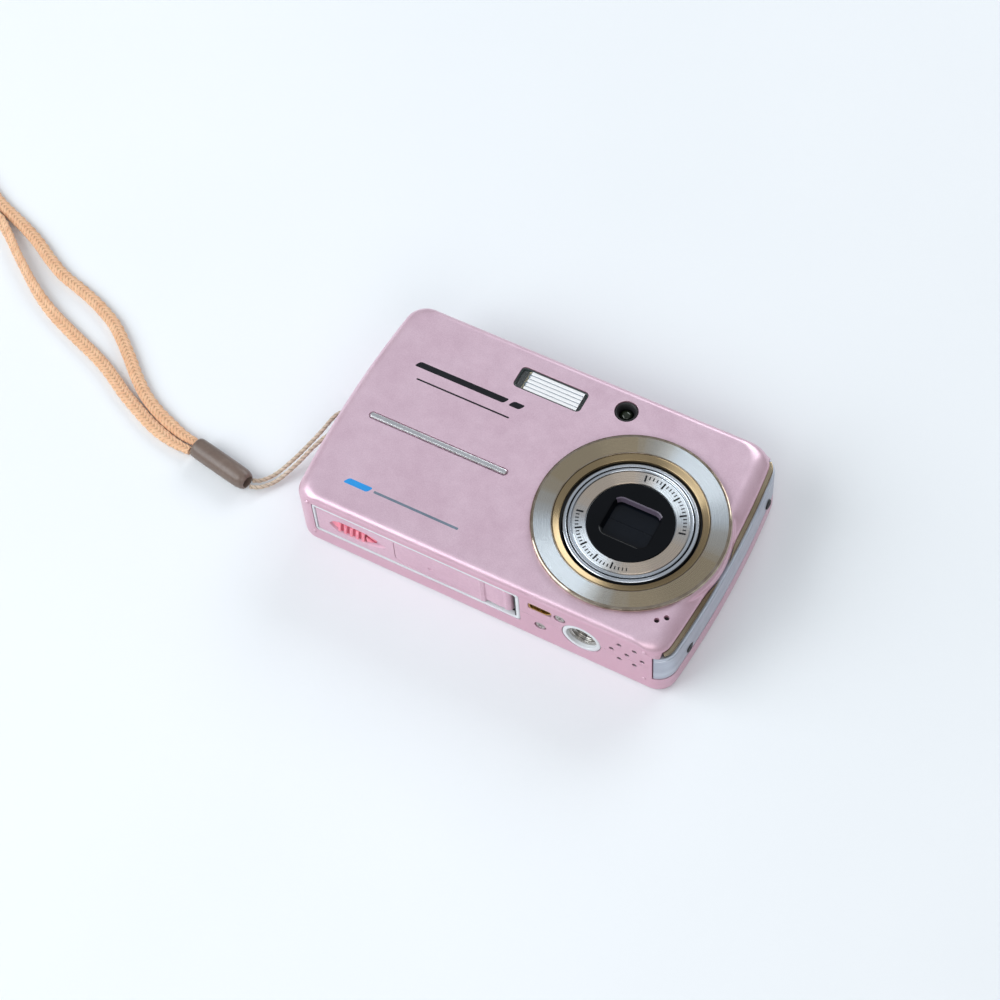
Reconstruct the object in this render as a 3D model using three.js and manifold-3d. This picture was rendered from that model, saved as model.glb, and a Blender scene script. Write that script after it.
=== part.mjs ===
// A slim compact digital camera lying on its back, with its wrist strap.
// Millimetres. +X along the width (the lens side), +Y towards the camera's top, +Z out of the lens.
// The origin is under the middle of the body, on the surface that the rear face rests on.
import * as THREE from 'three';
import { mergeVertices } from 'three/addons/utils/BufferGeometryUtils.js';
import Module from 'manifold-3d';

const wasm = await Module();
wasm.setup();

// ---------------------------------------------------------------- driving dimensions
const GAP = 0.3;
const BODY = { width: 95, height: 56.4, depth: 19.3, corner: 4.6, bow: 1.2, wall: 1.3 };
const HALF_WIDTH = BODY.width / 2;
const HALF_HEIGHT = BODY.height / 2;
const BASE_Y = -HALF_HEIGHT;
const TOP_Y = HALF_HEIGHT;
const INNER_BASE_Y = BASE_Y + BODY.wall;
const FACE_Z = BODY.depth;
const PART_LINE = 10.2;
const FRONT_ROUND = 2;
const REAR_ROUND = 1.6;
const BUTTON_RISE = 0.3;

const LENS = { x: 24.6, y: -2.6 };
const RING = { outer: 21.9, inner: 17.1, top: 20.5 };
const INSERT = { outer: 16.8, inner: 15.1, base: 18.9 };
const HOUSING = { outer: 17.2, wall: 0.6, base: 7.9, top: 18.5 };
const OUTER_BARREL = { outer: 14.8, inner: 14, base: 9, top: 19.6 };
const INNER_BARREL = { outer: 13.7, inner: 12.9, base: 9.3, top: 19.7 };
const BEZEL_RADIUS = 9.4;
const APERTURE = { width: 11.4, height: 9.6, corner: 2 };

const TRIM = { left: 42.6, low: 5.9, high: 15.2, thick: 1.4 };
const BAND = { low: 15.5, high: 16.2, edge: 45.9 };
const DOOR_FRAME = { left: -41.1, right: 10.4, low: 5.65, high: 16.5 };
const HINGE = { x: 7.4, y: -26.55, radius: 1.5 };
const TRIPOD = { x: 25.45, z: 9.95, collar: 4.6, thread: 3.2 };
const DISPLAY = { x: 11, width: 66, height: 50 };
const EYELET = { y: -1.6, z: 7.3, bar: { x: -46.3, radius: 0.9 } };
const CONTROLS_X = -35;
const KEY_FACE = 0.3;
const REAR_KEYS = [
  { name: 'play_button', y: 9 },
  { name: 'menu_button', y: 0 },
];
const BATTERY = { left: -38.6, right: -3.1, base: -25, height: 39.5, low: 10.2, high: 15.9 };
const BATTERY_END = BATTERY.base + BATTERY.height;
const CARD = { left: -36.4, right: -12.4, base: -24.8, height: 32, low: 6.2, high: 8.3 };

// ---------------------------------------------------------------- materials
const paint = (color, roughness, metalness) =>
  new THREE.MeshStandardMaterial({ color, roughness, metalness });
const pinkShell = paint('#cbb4c4', 0.42, 0.25);
const silverTrim = paint('#b4b8c4', 0.35, 0.6);
const bronze = paint('#8a7869', 0.28, 0.9);
const spunMetal = paint('#a0a4a2', 0.25, 1);
const polishedChrome = paint('#c9cbce', 0.12, 1);
const blackGloss = paint('#14161a', 0.15, 0);
const blackMatte = paint('#26262a', 0.6, 0);
const greyPlastic = paint('#c6cbd2', 0.5, 0);
const coralPlastic = paint('#ef9aae', 0.45, 0);
const clearGlass = paint('#c6c9d3', 0.08, 0);
const steel = paint('#b5b2ad', 0.3, 1);
const brassGold = paint('#b08a4a', 0.3, 1);
const boardGreen = paint('#2f5d46', 0.6, 0);
const cellGrey = paint('#5a5f66', 0.5, 0);
const cardBlue = paint('#2b3550', 0.5, 0);
const taupe = paint('#79695f', 0.55, 0);
const beigeCord = paint('#bba690', 0.8, 0);
const peachBraid = paint('#dcb392', 0.85, 0);

// ---------------------------------------------------------------- solids and planes
function solid(geometry) {
  const bare = geometry.clone();
  bare.deleteAttribute('normal');
  bare.deleteAttribute('uv');
  const merged = mergeVertices(bare, 1e-4);
  const index = merged.index.array;
  const triVerts = [];
  for (let i = 0; i < index.length; i += 3) {
    const [a, b, c] = [index[i], index[i + 1], index[i + 2]];
    if (a !== b && b !== c && c !== a) triVerts.push(a, b, c);
  }
  const vertProperties = new Float32Array(merged.attributes.position.array);
  const mesh = new wasm.Mesh({ numProp: 3, vertProperties, triVerts: new Uint32Array(triVerts) });
  return new wasm.Manifold(mesh);
}

function geometryOf(body) {
  const { vertProperties, triVerts } = body.getMesh();
  const geometry = new THREE.BufferGeometry();
  geometry.setAttribute('position', new THREE.BufferAttribute(new Float32Array(vertProperties), 3));
  geometry.setIndex(new THREE.BufferAttribute(new Uint32Array(triVerts), 1));
  geometry.computeVertexNormals();
  return geometry;
}

function piece(name, body, material) {
  const mesh = new THREE.Mesh(geometryOf(body), material);
  mesh.name = name;
  return mesh;
}

const join = (...bodies) => bodies.reduce((whole, next) => whole.add(next));
const cut = (body, ...tools) => tools.reduce((rest, tool) => rest.subtract(tool), body);

function box(x0, x1, y0, y1, z0, z1) {
  const block = new THREE.BoxGeometry(x1 - x0, y1 - y0, z1 - z0);
  block.translate((x0 + x1) / 2, (y0 + y1) / 2, (z0 + z1) / 2);
  return solid(block);
}

// A shape drawn on the front plane is (x, y), on the base plane (x, z), on a side plane (y, z).
const PLANES = {
  front: new THREE.Matrix4(),
  base: new THREE.Matrix4().makeBasis(
    new THREE.Vector3(1, 0, 0), new THREE.Vector3(0, 0, 1), new THREE.Vector3(0, -1, 0)),
  side: new THREE.Matrix4().makeBasis(
    new THREE.Vector3(0, 1, 0), new THREE.Vector3(0, 0, 1), new THREE.Vector3(1, 0, 0)),
};

// Extrudes a shape between two levels of the axis that its plane faces.
function extrude(shape, low, high, { plane = 'front', round = 0, segments = 3, curve = 6 } = {}) {
  const geometry = new THREE.ExtrudeGeometry(shape, {
    depth: high - low - 2 * round,
    bevelEnabled: round > 0,
    bevelThickness: round,
    bevelSize: round,
    bevelOffset: -round,
    bevelSegments: segments,
    curveSegments: curve,
  });
  const start = plane === 'base' ? -high : low;
  geometry.translate(0, 0, start + round);
  geometry.applyMatrix4(PLANES[plane]);
  return solid(geometry);
}

function circle(x, y, radius) {
  const shape = new THREE.Shape();
  shape.absarc(x, y, radius, 0, 2 * Math.PI);
  return shape;
}

// A round bar or hole between two levels; curve is a quarter of its number of sides.
function rod(plane, x, y, radius, low, high, curve = 6) {
  const points = [];
  const sides = 4 * curve;
  for (let i = 0; i < sides; i += 1) {
    const angle = (2 * Math.PI * i) / sides;
    points.push(new THREE.Vector2(x + radius * Math.cos(angle), y + radius * Math.sin(angle)));
  }
  return extrude(new THREE.Shape(points), low, high, { plane });
}

function roundedRect(x0, x1, y0, y1, radius) {
  const shape = new THREE.Shape();
  shape.absarc(x1 - radius, y1 - radius, radius, 0, Math.PI / 2);
  shape.absarc(x0 + radius, y1 - radius, radius, Math.PI / 2, Math.PI);
  shape.absarc(x0 + radius, y0 + radius, radius, Math.PI, 1.5 * Math.PI);
  shape.absarc(x1 - radius, y0 + radius, radius, 1.5 * Math.PI, 2 * Math.PI);
  shape.closePath();
  return shape;
}

// Turns a closed (radius, z) profile about the Z axis.
function turned(profile, sides = 40) {
  const points = profile.map(([radius, z]) => new THREE.Vector2(radius, z));
  const geometry = new THREE.LatheGeometry(points, sides);
  geometry.rotateX(Math.PI / 2);
  return solid(geometry);
}

const ring = (inner, outer, low, high, sides) =>
  turned([[inner, low], [outer, low], [outer, high], [inner, high], [inner, low]], sides);

// ---------------------------------------------------------------- the body's outline
// Straight top and base, slightly bowed ends, round corners; pull draws in the lens-side end.
function bodyOutline(inset, pull = 0) {
  const radius = Math.max(BODY.corner - inset, 0.9);
  const half = HALF_HEIGHT - inset;
  const span = half - radius;
  const end = HALF_WIDTH - BODY.bow - inset;
  const points = [];
  const corner = (x, y, from) => {
    for (let i = 0; i <= 5; i += 1) {
      const angle = from + (Math.PI / 2) * (i / 5);
      points.push(new THREE.Vector2(x + radius * Math.cos(angle), y + radius * Math.sin(angle)));
    }
  };
  const bow = (x, direction) => {
    for (let i = -2; i <= 2; i += 1) {
      const t = (direction * i) / 3;
      points.push(new THREE.Vector2(x + direction * BODY.bow * (1 - t * t), span * t));
    }
  };
  bow(end - pull, 1);
  corner(end - pull - radius, span, 0);
  corner(-end + radius, span, Math.PI / 2);
  bow(-end, -1);
  corner(-end + radius, -span, Math.PI);
  corner(end - pull - radius, -span, 1.5 * Math.PI);
  return new THREE.Shape(points);
}

// A strip of the given thickness that follows the outline, kept to the lens-side end.
function endStrip(inset, thick, fromX, low, high) {
  const outer = extrude(bodyOutline(inset), low, high);
  const inner = extrude(bodyOutline(inset + thick), low - 1, high + 1);
  const lensEnd = box(fromX, HALF_WIDTH + 1, BASE_Y - 1, TOP_Y + 1, low, high);
  return cut(outer, inner).intersect(lensEnd);
}

// ---------------------------------------------------------------- openings cut through both covers
const bottomHole = (shape) => extrude(shape, BASE_Y - 1, INNER_BASE_Y + 0.4, { plane: 'base' });
const bottomRound = (x, z, radius, curve = 4) =>
  rod('base', x, z, radius, BASE_Y - 1, INNER_BASE_Y + 0.4, curve);
const SCREWS = [
  { name: 'bottom_screw_rear', x: 15.4, z: 7.1 },
  { name: 'bottom_screw_front', x: 20.3, z: 14.4 },
];
const SIDE_SCREWS = [
  { name: 'side_screw_lower', y: -18.6, z: 7.7 },
  { name: 'side_screw_upper', y: 21, z: 7.7 },
];
const USB = { left: 12.75, right: 18.25, low: 13.5, high: 15.6 };
const TOP_BUTTONS = [
  { name: 'shutter_button', x: -33, radius: 4.2 },
  { name: 'power_button', x: -17, radius: 2.4 },
];
const TOP_BUTTON_Z = 10.4;
const MIC_HOLES = [[40.1, -21.3], [41.7, -19.8]];
const FLASH = { left: -15.1, right: 1.7, low: 17.3, high: 23, corner: 1.2 };
const FOCUS_LAMP = { x: 11, y: 22.4 };
const ACCENT_BAR = { left: -39.8, right: -5.3, y: -3.45, half: 0.75 };

function doorOpening(spare) {
  const { left, right, low, high } = DOOR_FRAME;
  return roundedRect(left - spare, right + spare, low - spare, high + spare, 0.8);
}

function speakerHoles() {
  const holes = [];
  const pitch = 3.65;
  holes.push(bottomRound(36.4, 11.75, 0.5, 2));
  for (let i = 0; i < 6; i += 1) {
    const angle = (Math.PI / 3) * i;
    holes.push(bottomRound(36.4 + pitch * Math.cos(angle), 11.75 + pitch * Math.sin(angle), 0.5, 2));
  }
  return holes;
}

function sharedOpenings() {
  const trimZone = endStrip(-0.5, 3, TRIM.left - GAP, TRIM.low - GAP, BAND.low);
  const bandZone = endStrip(-0.5, 3, 44.2, BAND.low - 0.1, BAND.high + GAP);
  const screwHoles = SCREWS.map(({ x, z }) => bottomRound(x, z, 1.5, 5));
  const topHoles = TOP_BUTTONS.map(({ x, radius }) =>
    rod('base', x, TOP_BUTTON_Z, radius + GAP, TOP_Y - BODY.wall - 0.4, TOP_Y + 1, 6));
  return [
    trimZone,
    bandZone,
    bottomHole(doorOpening(GAP)),
    bottomHole(roundedRect(USB.left - GAP, USB.right + GAP, USB.low - GAP, USB.high + GAP, 0.5)),
    bottomRound(TRIPOD.x, TRIPOD.z, TRIPOD.collar + GAP, 8),
    ...screwHoles,
    ...speakerHoles(),
    ...topHoles,
  ];
}

// A low round pip that the camera stands on when it is upright.
const pip = (x, z) => rod('base', x, z, 0.55, BASE_Y - BUTTON_RISE, BASE_Y + 0.4, 3);

// ---------------------------------------------------------------- covers and trim
function frontCover() {
  const outerBlock = extrude(bodyOutline(0), 2, FACE_Z, { round: FRONT_ROUND });
  const profile = new THREE.Shape();
  profile.moveTo(-HALF_WIDTH - 1, 2);
  profile.lineTo(HALF_WIDTH + 1, 2);
  profile.lineTo(HALF_WIDTH + 1, BAND.low - 0.1);
  profile.lineTo(BAND.edge + 0.2, BAND.high);
  profile.lineTo(BAND.edge - 0.1, 17);
  profile.quadraticCurveTo(45.3, 18.9, 43.6, FACE_Z);
  profile.lineTo(-43.4, FACE_Z);
  profile.quadraticCurveTo(-46.9, FACE_Z, -HALF_WIDTH - 0.1, 15.5);
  profile.lineTo(-HALF_WIDTH - 1, 15.5);
  profile.closePath();
  const depthways = new THREE.ExtrudeGeometry(profile, { depth: 80, bevelEnabled: false, curveSegments: 4 });
  depthways.rotateX(Math.PI / 2);
  depthways.translate(0, 40, 0);
  const boss = turned([[0, BAND.low], [22.3, BAND.low], [22.3, 18.6], [21.7, FACE_Z], [0, FACE_Z]], 64)
    .translate([LENS.x, LENS.y, 0]);
  const outer = join(outerBlock.intersect(solid(depthways)), boss)
    .intersect(box(-60, 60, -40, 40, PART_LINE + GAP, 30));
  const hollow = extrude(bodyOutline(BODY.wall, 1.2), 3, FACE_Z - 1.4, { round: 1.4, segments: 2 });
  const lensHole = rod('front', LENS.x, LENS.y, 17.6, 15, 25, 14);
  const flashHole = extrude(
    roundedRect(FLASH.left, FLASH.right, FLASH.low, FLASH.high, FLASH.corner), 16, 22, { curve: 3 });
  const lampHole = rod('front', FOCUS_LAMP.x, FOCUS_LAMP.y, 2.8, 16, 22, 7);
  const barGroove = extrude(
    roundedRect(ACCENT_BAR.left - GAP, ACCENT_BAR.right + GAP,
      ACCENT_BAR.y - ACCENT_BAR.half - GAP, ACCENT_BAR.y + ACCENT_BAR.half + GAP, 1), 18.7, 22, { curve: 4 });
  const micHoles = MIC_HOLES.map(([x, y]) => rod('front', x, y, 0.5, 16, 22, 3));
  const frontHoles = [lensHole, flashHole, lampHole, barGroove, ...micHoles];
  const shell = cut(outer, hollow, ...frontHoles, ...sharedOpenings());
  return join(shell, pip(40.5, 16.6), pip(-42.1, 16.6));
}

function rearCover() {
  const outer = extrude(bodyOutline(0), 0, 16, { round: REAR_ROUND })
    .intersect(box(-60, 60, -40, 40, -1, PART_LINE));
  const hollow = extrude(bodyOutline(BODY.wall), 1.2, 16, { round: 1, segments: 2 });
  const { x, width, height } = DISPLAY;
  const displayHole = extrude(
    roundedRect(x - width / 2 - GAP, x + width / 2 + GAP, -height / 2 - GAP, height / 2 + GAP, 1.2), -1, 2);
  const eyeletNotch = box(-50, -42.4, EYELET.y - 4.3, EYELET.y + 4.3, 4.2, 12);
  const rockerHole = extrude(roundedRect(CONTROLS_X - 6.4, CONTROLS_X + 6.4, 18.6, 24.2, 2.8), -1, 2);
  const keyHoles = REAR_KEYS.map((key) => rod('front', CONTROLS_X, key.y, 2.7, -1, 2, 6));
  const shell = cut(outer, hollow, displayHole, eyeletNotch, rockerHole, ...keyHoles, ...sharedOpenings());
  return join(shell, pip(40.5, 4.5), pip(-41.6, 4.2));
}

function sideTrim() {
  const strip = endStrip(0, TRIM.thick, TRIM.left, TRIM.low, TRIM.high);
  const screwSeats = SIDE_SCREWS.flatMap(({ y, z }) => [
    rod('side', y, z, 1.5, 46, 50, 5),
    rod('side', y, z, 0.95, 40, 50, 4),
  ]);
  return cut(strip, ...screwSeats);
}

function trimBand() {
  const bossClearance = rod('front', LENS.x, LENS.y, 22.3 + GAP, 10, 20, 16);
  return endStrip(0.4, 1.9, 44.5, BAND.low, BAND.high).subtract(bossClearance);
}

// The band is broken by the lens boss, so each side of it is a strip of its own.
function trimBandHalf(upper) {
  const [low, high] = upper ? [LENS.y, 40] : [-40, LENS.y];
  return trimBand().intersect(box(40, 50, low, high, 10, 20));
}

// ---------------------------------------------------------------- front details
function accentBar() {
  const { left, right, y, half } = ACCENT_BAR;
  return extrude(roundedRect(left, right, y - half, y + half, half), 19, 19.75, { curve: 4 });
}

function flashReflector() {
  const block = box(-15.4, 2, 16.7, 23.6, 12.2, 17.4);
  const trough = extrude(roundedRect(-14.8, 1.4, 17.3, 23, 1), 13, 19, { curve: 3 });
  return cut(block, trough);
}

const flashTube = () => rod('side', 20.15, 14.5, 1.1, -14.3, 0.9, 4);

function flashWindow() {
  const { left, right, low, high, corner } = FLASH;
  const pane = extrude(
    roundedRect(left + GAP, right - GAP, low + GAP, high - GAP, corner - 0.2), 17.7, 19.1, { curve: 3 });
  const grooves = [];
  for (let i = 0; i < 5; i += 1) {
    const y = low + 1.05 + i * 0.9;
    grooves.push(box(left + 2.2, right - 1, y, y + 0.35, 18.9, 20));
  }
  return cut(pane, ...grooves);
}

const focusLampBezel = () => turned(
  [[1.8, 16.2], [2.5, 16.2], [2.5, 19], [2.2, 19.15], [1.8, 18.2], [1.8, 16.2]], 28);
const focusLampLens = () => turned(
  [[0, 15.2], [1.5, 15.2], [1.5, 17], [1.1, 17.6], [0.5, 17.85], [0, 17.9]], 20);

// ---------------------------------------------------------------- base details
function doorFrame() {
  const { left, right, low, high } = DOOR_FRAME;
  const outer = extrude(doorOpening(0), BASE_Y, BASE_Y + 1.2, { plane: 'base', curve: 3 });
  const inner = extrude(
    roundedRect(left + 0.6, right - 0.9, low + 0.65, high - 0.65, 0.5), BASE_Y - 1, BASE_Y + 3,
    { plane: 'base', curve: 3 });
  return cut(outer, inner);
}

// A plate with an outline of two shallow arcs that meet in points.
function almond(left, right, z, half) {
  const shape = new THREE.Shape();
  const middle = (left + right) / 2;
  shape.moveTo(left, z);
  shape.quadraticCurveTo(left + 1.2, z - half, left + 3.6, z - half);
  shape.lineTo(middle + 1, z - half);
  shape.quadraticCurveTo(right - 3, z - half, right, z);
  shape.quadraticCurveTo(right - 3, z + half, middle + 1, z + half);
  shape.lineTo(left + 3.6, z + half);
  shape.quadraticCurveTo(left + 1.2, z + half, left, z);
  return shape;
}

const LATCH = { left: -36.7, right: -25.2, z: 11.2, half: 2.1, travel: 2 };
const DOOR = { left: -40.2, right: 1.4, low: 6.6, high: 15.55, outer: BASE_Y + 0.05, inner: BASE_Y + 1.4 };

function batteryDoor() {
  const { left, right, low, high, outer, inner } = DOOR;
  const panel = extrude(roundedRect(left, right, low, high, 0.4), outer, inner, { plane: 'base', curve: 2 });
  const tongue = box(right - 0.5, HINGE.x, BASE_Y + 0.35, BASE_Y + 1.3, 7.4, 15.2);
  const barrel = rod('front', HINGE.x, HINGE.y, HINGE.radius, 6.9, 15.3, 6);
  const bore = rod('front', HINGE.x, HINGE.y, 0.8, 0, 30, 4);
  const latchSeat = extrude(
    almond(LATCH.left - GAP, LATCH.right + LATCH.travel + GAP, LATCH.z, LATCH.half + GAP),
    BASE_Y - 1, BASE_Y + 0.75, { plane: 'base', curve: 4 });
  const latchSlot = box(-34.3, -28.3 + LATCH.travel, BASE_Y - 1, BASE_Y + 3, LATCH.z - 0.9, LATCH.z + 0.9);
  return cut(join(panel, tongue, barrel), bore, latchSeat, latchSlot);
}

function latchSlider() {
  const { left, right, z, half } = LATCH;
  const pad = extrude(almond(left, right, z, half), BASE_Y + 0.1, BASE_Y + 0.45, { plane: 'base', curve: 4 });
  const stem = box(-34, -28.6, BASE_Y + 0.3, BASE_Y + 2, z - 0.6, z + 0.6);
  const bolt = box(-39.8, -28.6, BASE_Y + 1.7, BASE_Y + 2.3, z - 1.5, z + 1.5);
  const grips = [];
  for (let i = 0; i < 4; i += 1) {
    const x = left + 2 + i * 1.75;
    grips.push(box(x, x + 0.6, BASE_Y, BASE_Y + 0.3, z - 1.5, z + 1.5));
  }
  return cut(join(pad, stem, bolt), ...grips);
}

const hingePin = () => rod('front', HINGE.x, HINGE.y, 0.6, 6.6, 15.6, 3);

function tripodSocket() {
  const { x, z, collar, thread } = TRIPOD;
  const body = rod('base', x, z, collar, BASE_Y, BASE_Y + 5.6, 8);
  const bore = rod('base', x, z, thread, BASE_Y - 1, BASE_Y + 4.6, 7);
  const mouth = rod('base', x, z, thread + 0.4, BASE_Y - 1, BASE_Y + 0.4, 7);
  return cut(body, bore, mouth);
}

function usbConnector() {
  const { left, right, low, high } = USB;
  const facing = { plane: 'base', curve: 2 };
  const shell = extrude(roundedRect(left, right, low, high, 0.45), BASE_Y + 0.1, BASE_Y + 5, facing);
  const mouth = extrude(
    roundedRect(left + 0.3, right - 0.3, low + 0.3, high - 0.3, 0.3), BASE_Y - 1, BASE_Y + 4, facing);
  const tongue = box(left + 0.9, right - 0.9, BASE_Y + 1, BASE_Y + 4.2, 14.3, 14.8);
  return join(cut(shell, mouth), tongue);
}

// The head's outer face is at from and the shank ends at towards, along the axis the plane faces.
const SLOT_HALF = 0.2;

function screw(plane, x, y, head, from, towards) {
  const inward = Math.sign(towards - from);
  const span = (a, b) => [Math.min(a, b), Math.max(a, b)];
  const headBody = rod(plane, x, y, head, ...span(from, from + 0.6 * inward), 4);
  const shank = rod(plane, x, y, 0.7, ...span(from + 0.5 * inward, towards), 3);
  const slotSpan = span(from - inward, from + 0.3 * inward);
  const arm = head * 0.62;
  const across = roundedRect(x - arm, x + arm, y - SLOT_HALF, y + SLOT_HALF, 0.05);
  const along = roundedRect(x - SLOT_HALF, x + SLOT_HALF, y - arm, y + arm, 0.05);
  const slots = [across, along].map((shape) => extrude(shape, ...slotSpan, { plane, curve: 1 }));
  return cut(join(headBody, shank), ...slots);
}

// ---------------------------------------------------------------- rear controls and display

function rearKey(y) {
  const cap = rod('front', CONTROLS_X, y, 2.4, KEY_FACE, 1.5, 6);
  const flange = rod('front', CONTROLS_X, y, 3.2, 1.5, 2.1, 6);
  return join(cap, flange);
}

function zoomRocker() {
  const outline = roundedRect(CONTROLS_X - 6, CONTROLS_X + 6, 19, 23.8, 2.4);
  const cap = extrude(outline, 0.35, 1.6, { curve: 4 });
  const ridge = box(CONTROLS_X - 0.7, CONTROLS_X + 0.7, 19.6, 23.2, 1.5, 2.3);
  const grips = [-4.4, 4.4].map((offset) =>
    box(CONTROLS_X + offset - 0.3, CONTROLS_X + offset + 0.3, 20, 22.8, 0, 0.55));
  const flange = box(CONTROLS_X - 3, CONTROLS_X + 3, 18, 24.8, 1.5, 2.1);
  return cut(join(cap, ridge, flange), ...grips);
}

function topButton({ x, radius }) {
  const cap = extrude(circle(x, TOP_BUTTON_Z, radius), TOP_Y - 2.4, TOP_Y + BUTTON_RISE,
    { plane: 'base', round: 0.35, segments: 1, curve: 14 });
  const flange = rod('base', x, TOP_BUTTON_Z, radius + 0.8, TOP_Y - 2.5, TOP_Y - 1.8, 6);
  return join(cap, flange);
}

function displayWindow() {
  const { x, width, height } = DISPLAY;
  const outline = roundedRect(x - width / 2, x + width / 2, -height / 2, height / 2, 1);
  return extrude(outline, 0.25, 1.15, { curve: 3 });
}

// ---------------------------------------------------------------- inside the body
function chassisPlate() {
  const plate = box(-42, 42, -25.2, 25.2, 4.7, 5.2);
  const windows = [[-30, -14, -6, 12], [-6, 4, 2, 18], [14, 35, -12, 8]];
  const holes = windows.map(([x0, x1, y0, y1]) => box(x0, x1, y0, y1, 4, 6));
  const controlNotch = box(-43, -41.5, -7, 4, 4, 6);
  return cut(plate, controlNotch, ...holes);
}

function mainBoard() {
  const board = box(2, 42, -22, 25.2, 5.6, 6.5);
  const chip = box(8, 18, 12, 22, 6.4, 7.2);
  return join(board, chip);
}

function batteryBay() {
  const { left, right, base, height, low, high } = BATTERY;
  const space = GAP;
  const wall = 0.7;
  const outer = box(left - space - wall, right + space + wall, base - 0.4, base + height + 1.9,
    low - space - wall, high + space + wall);
  const inner = box(left - space, right + space, base - 2, base + height + 1.2, low - space, high + space);
  return cut(outer, inner);
}

function battery() {
  const { left, right, base, height, low, high } = BATTERY;
  return extrude(roundedRect(left, right, low, high, 1), base, base + height, { plane: 'base', curve: 3 });
}

// The contact block stands between the pack's end and the bay's closed end.
const batteryTerminals = () => box(-30, -12, BATTERY_END + GAP, BATTERY_END + 0.9, 11.5, 14.5);

function cardSocket() {
  const { left, right, base, height, low, high } = CARD;
  const outer = box(left - 0.7, right + 0.7, base - 0.2, base + height + 1.2, low - 0.6, high + 0.6);
  const inner = box(left - GAP, right + GAP, base - 2, base + height + GAP, low - GAP, high + GAP);
  return cut(outer, inner);
}

function memoryCard() {
  const { left, right, base, height, low, high } = CARD;
  const shape = new THREE.Shape();
  shape.moveTo(left, base);
  shape.lineTo(right, base);
  shape.lineTo(right, base + height);
  shape.lineTo(left + 3.5, base + height);
  shape.lineTo(left, base + height - 3.5);
  shape.closePath();
  return extrude(shape, low, high);
}

function speaker() {
  const body = rod('base', 36.4, 11.75, 4.6, -26.6, -24.2, 6);
  const dish = rod('base', 36.4, 11.75, 3.8, -27, -26.2, 6);
  return cut(body, dish);
}

const microphone = () => rod('front', 40.9, -20.5, 1.7, 15.2, 17.3, 5);
const flashCapacitor = () => rod('side', 20.5, 12, 3.3, -41.5, -18.5, 5);
const buttonBoard = () => box(-40, -13, 24.2, 24.7, 7.5, 13.5);
const rearKeyBoard = () => box(-40.5, -25.5, -4, 24.2, 3.3, 3.9);
const displayModule = () => box(-20, 42, -24, 24, 1.5, 4.3);

function zoomMotor() {
  const can = rod('front', 1.9, 12.5, 3, 7.4, 13.2, 6);
  const gearbox = rod('front', 1.9, 12.5, 2.2, 13, 16.4, 5);
  return join(can, gearbox);
}

// ---------------------------------------------------------------- lens unit, about its own axis
function lensHousing() {
  const { outer, wall, base, top } = HOUSING;
  return turned([[outer - wall, base], [18.4, base], [18.4, base + 1.2], [outer, base + 1.2],
    [outer, top], [outer - wall, top], [outer - wall, base]]);
}

const lensRing = () => turned([[RING.inner, 19.6], [21.6, 19.6], [RING.outer, 19.8], [RING.outer, 20.15],
  [21.5, RING.top], [RING.inner, 20.3], [RING.inner, 19.6]], 56);
const lensRingInsert = () => turned([[INSERT.inner, INSERT.base], [INSERT.outer, INSERT.base],
  [INSERT.outer, 20.2], [INSERT.inner, 19.6], [INSERT.inner, INSERT.base]], 44);

function camRing() {
  const body = ring(15.1, 16.3, 9.7, 18.2, 40);
  const guideSlots = [];
  for (let i = 0; i < 3; i += 1) {
    const slot = new THREE.BoxGeometry(4, 1.2, 7);
    slot.rotateX(0.7);
    slot.translate(15.7, 0, 13.8);
    slot.rotateZ((2 * Math.PI * i) / 3);
    guideSlots.push(solid(slot));
  }
  return cut(body, ...guideSlots);
}

function outerBarrel() {
  const { outer, inner, base, top } = OUTER_BARREL;
  return turned([[inner, base], [outer, base], [outer, top - 0.2], [outer - 0.2, top], [inner, top],
    [inner, base]], 44);
}

function innerBarrel() {
  const { outer, inner, base, top } = INNER_BARREL;
  return turned([[inner, base], [outer, base], [outer, top], [13.05, top], [13.05, 19.1], [9.7, 19.1],
    [9.7, 18.5], [inner, 18.5], [inner, base]], 44);
}

const lensFaceplate = () => ring(9.95, 12.75, 19.4, 19.75, 44);

function barrierBezel() {
  const disc = turned([[0, 18], [BEZEL_RADIUS, 18], [BEZEL_RADIUS, 19.5], [0, 19.5]]);
  const { width, height, corner } = APERTURE;
  const outline = roundedRect(-width / 2, width / 2, -height / 2, height / 2, corner);
  return cut(disc, extrude(outline, 17, 21, { curve: 3 }));
}

const BLADE = { half: 6.1, near: 0.15, far: 5.1, low: 16.9, high: 17.6 };

function barrierBlade(side) {
  const { half, near, far, low, high } = BLADE;
  const [y0, y1] = side > 0 ? [near, far] : [-far, -near];
  return extrude(roundedRect(-half, half, y0, y1, 0.5), low, high, { curve: 2 });
}

const lensCell = () => turned([[6.3, 12.2], [12.5, 12.2], [12.5, 16.5], [11.6, 16.5], [8, 14.2],
  [6.3, 14.2], [6.3, 12.2]], 32);
const frontElement = () => turned([[0, 11.6], [3, 11.9], [5.9, 12.7], [5.9, 13.8], [4.4, 14.9],
  [2.4, 15.6], [0, 15.8]], 24);

const sensorBoard = () => box(-11, 11, -11, 11, 7, 7.5);
const imageSensor = () => box(-4.2, 4.2, -3.6, 3.6, 7.8, 8.8);

// ---------------------------------------------------------------- wrist strap
function strapEyelet() {
  const { y, z, bar } = EYELET;
  const block = box(-47.1, -42.7, y - 4, y + 4, z - 2.7, z + 2.6);
  const pocket = box(-50, -43.5, y - 3.4, y + 3.4, z - 2, z + 2);
  const crossBar = rod('front', bar.x, y, bar.radius, z - 2.3, z + 2.3, 4);
  return join(cut(block, pocket), crossBar);
}

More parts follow.
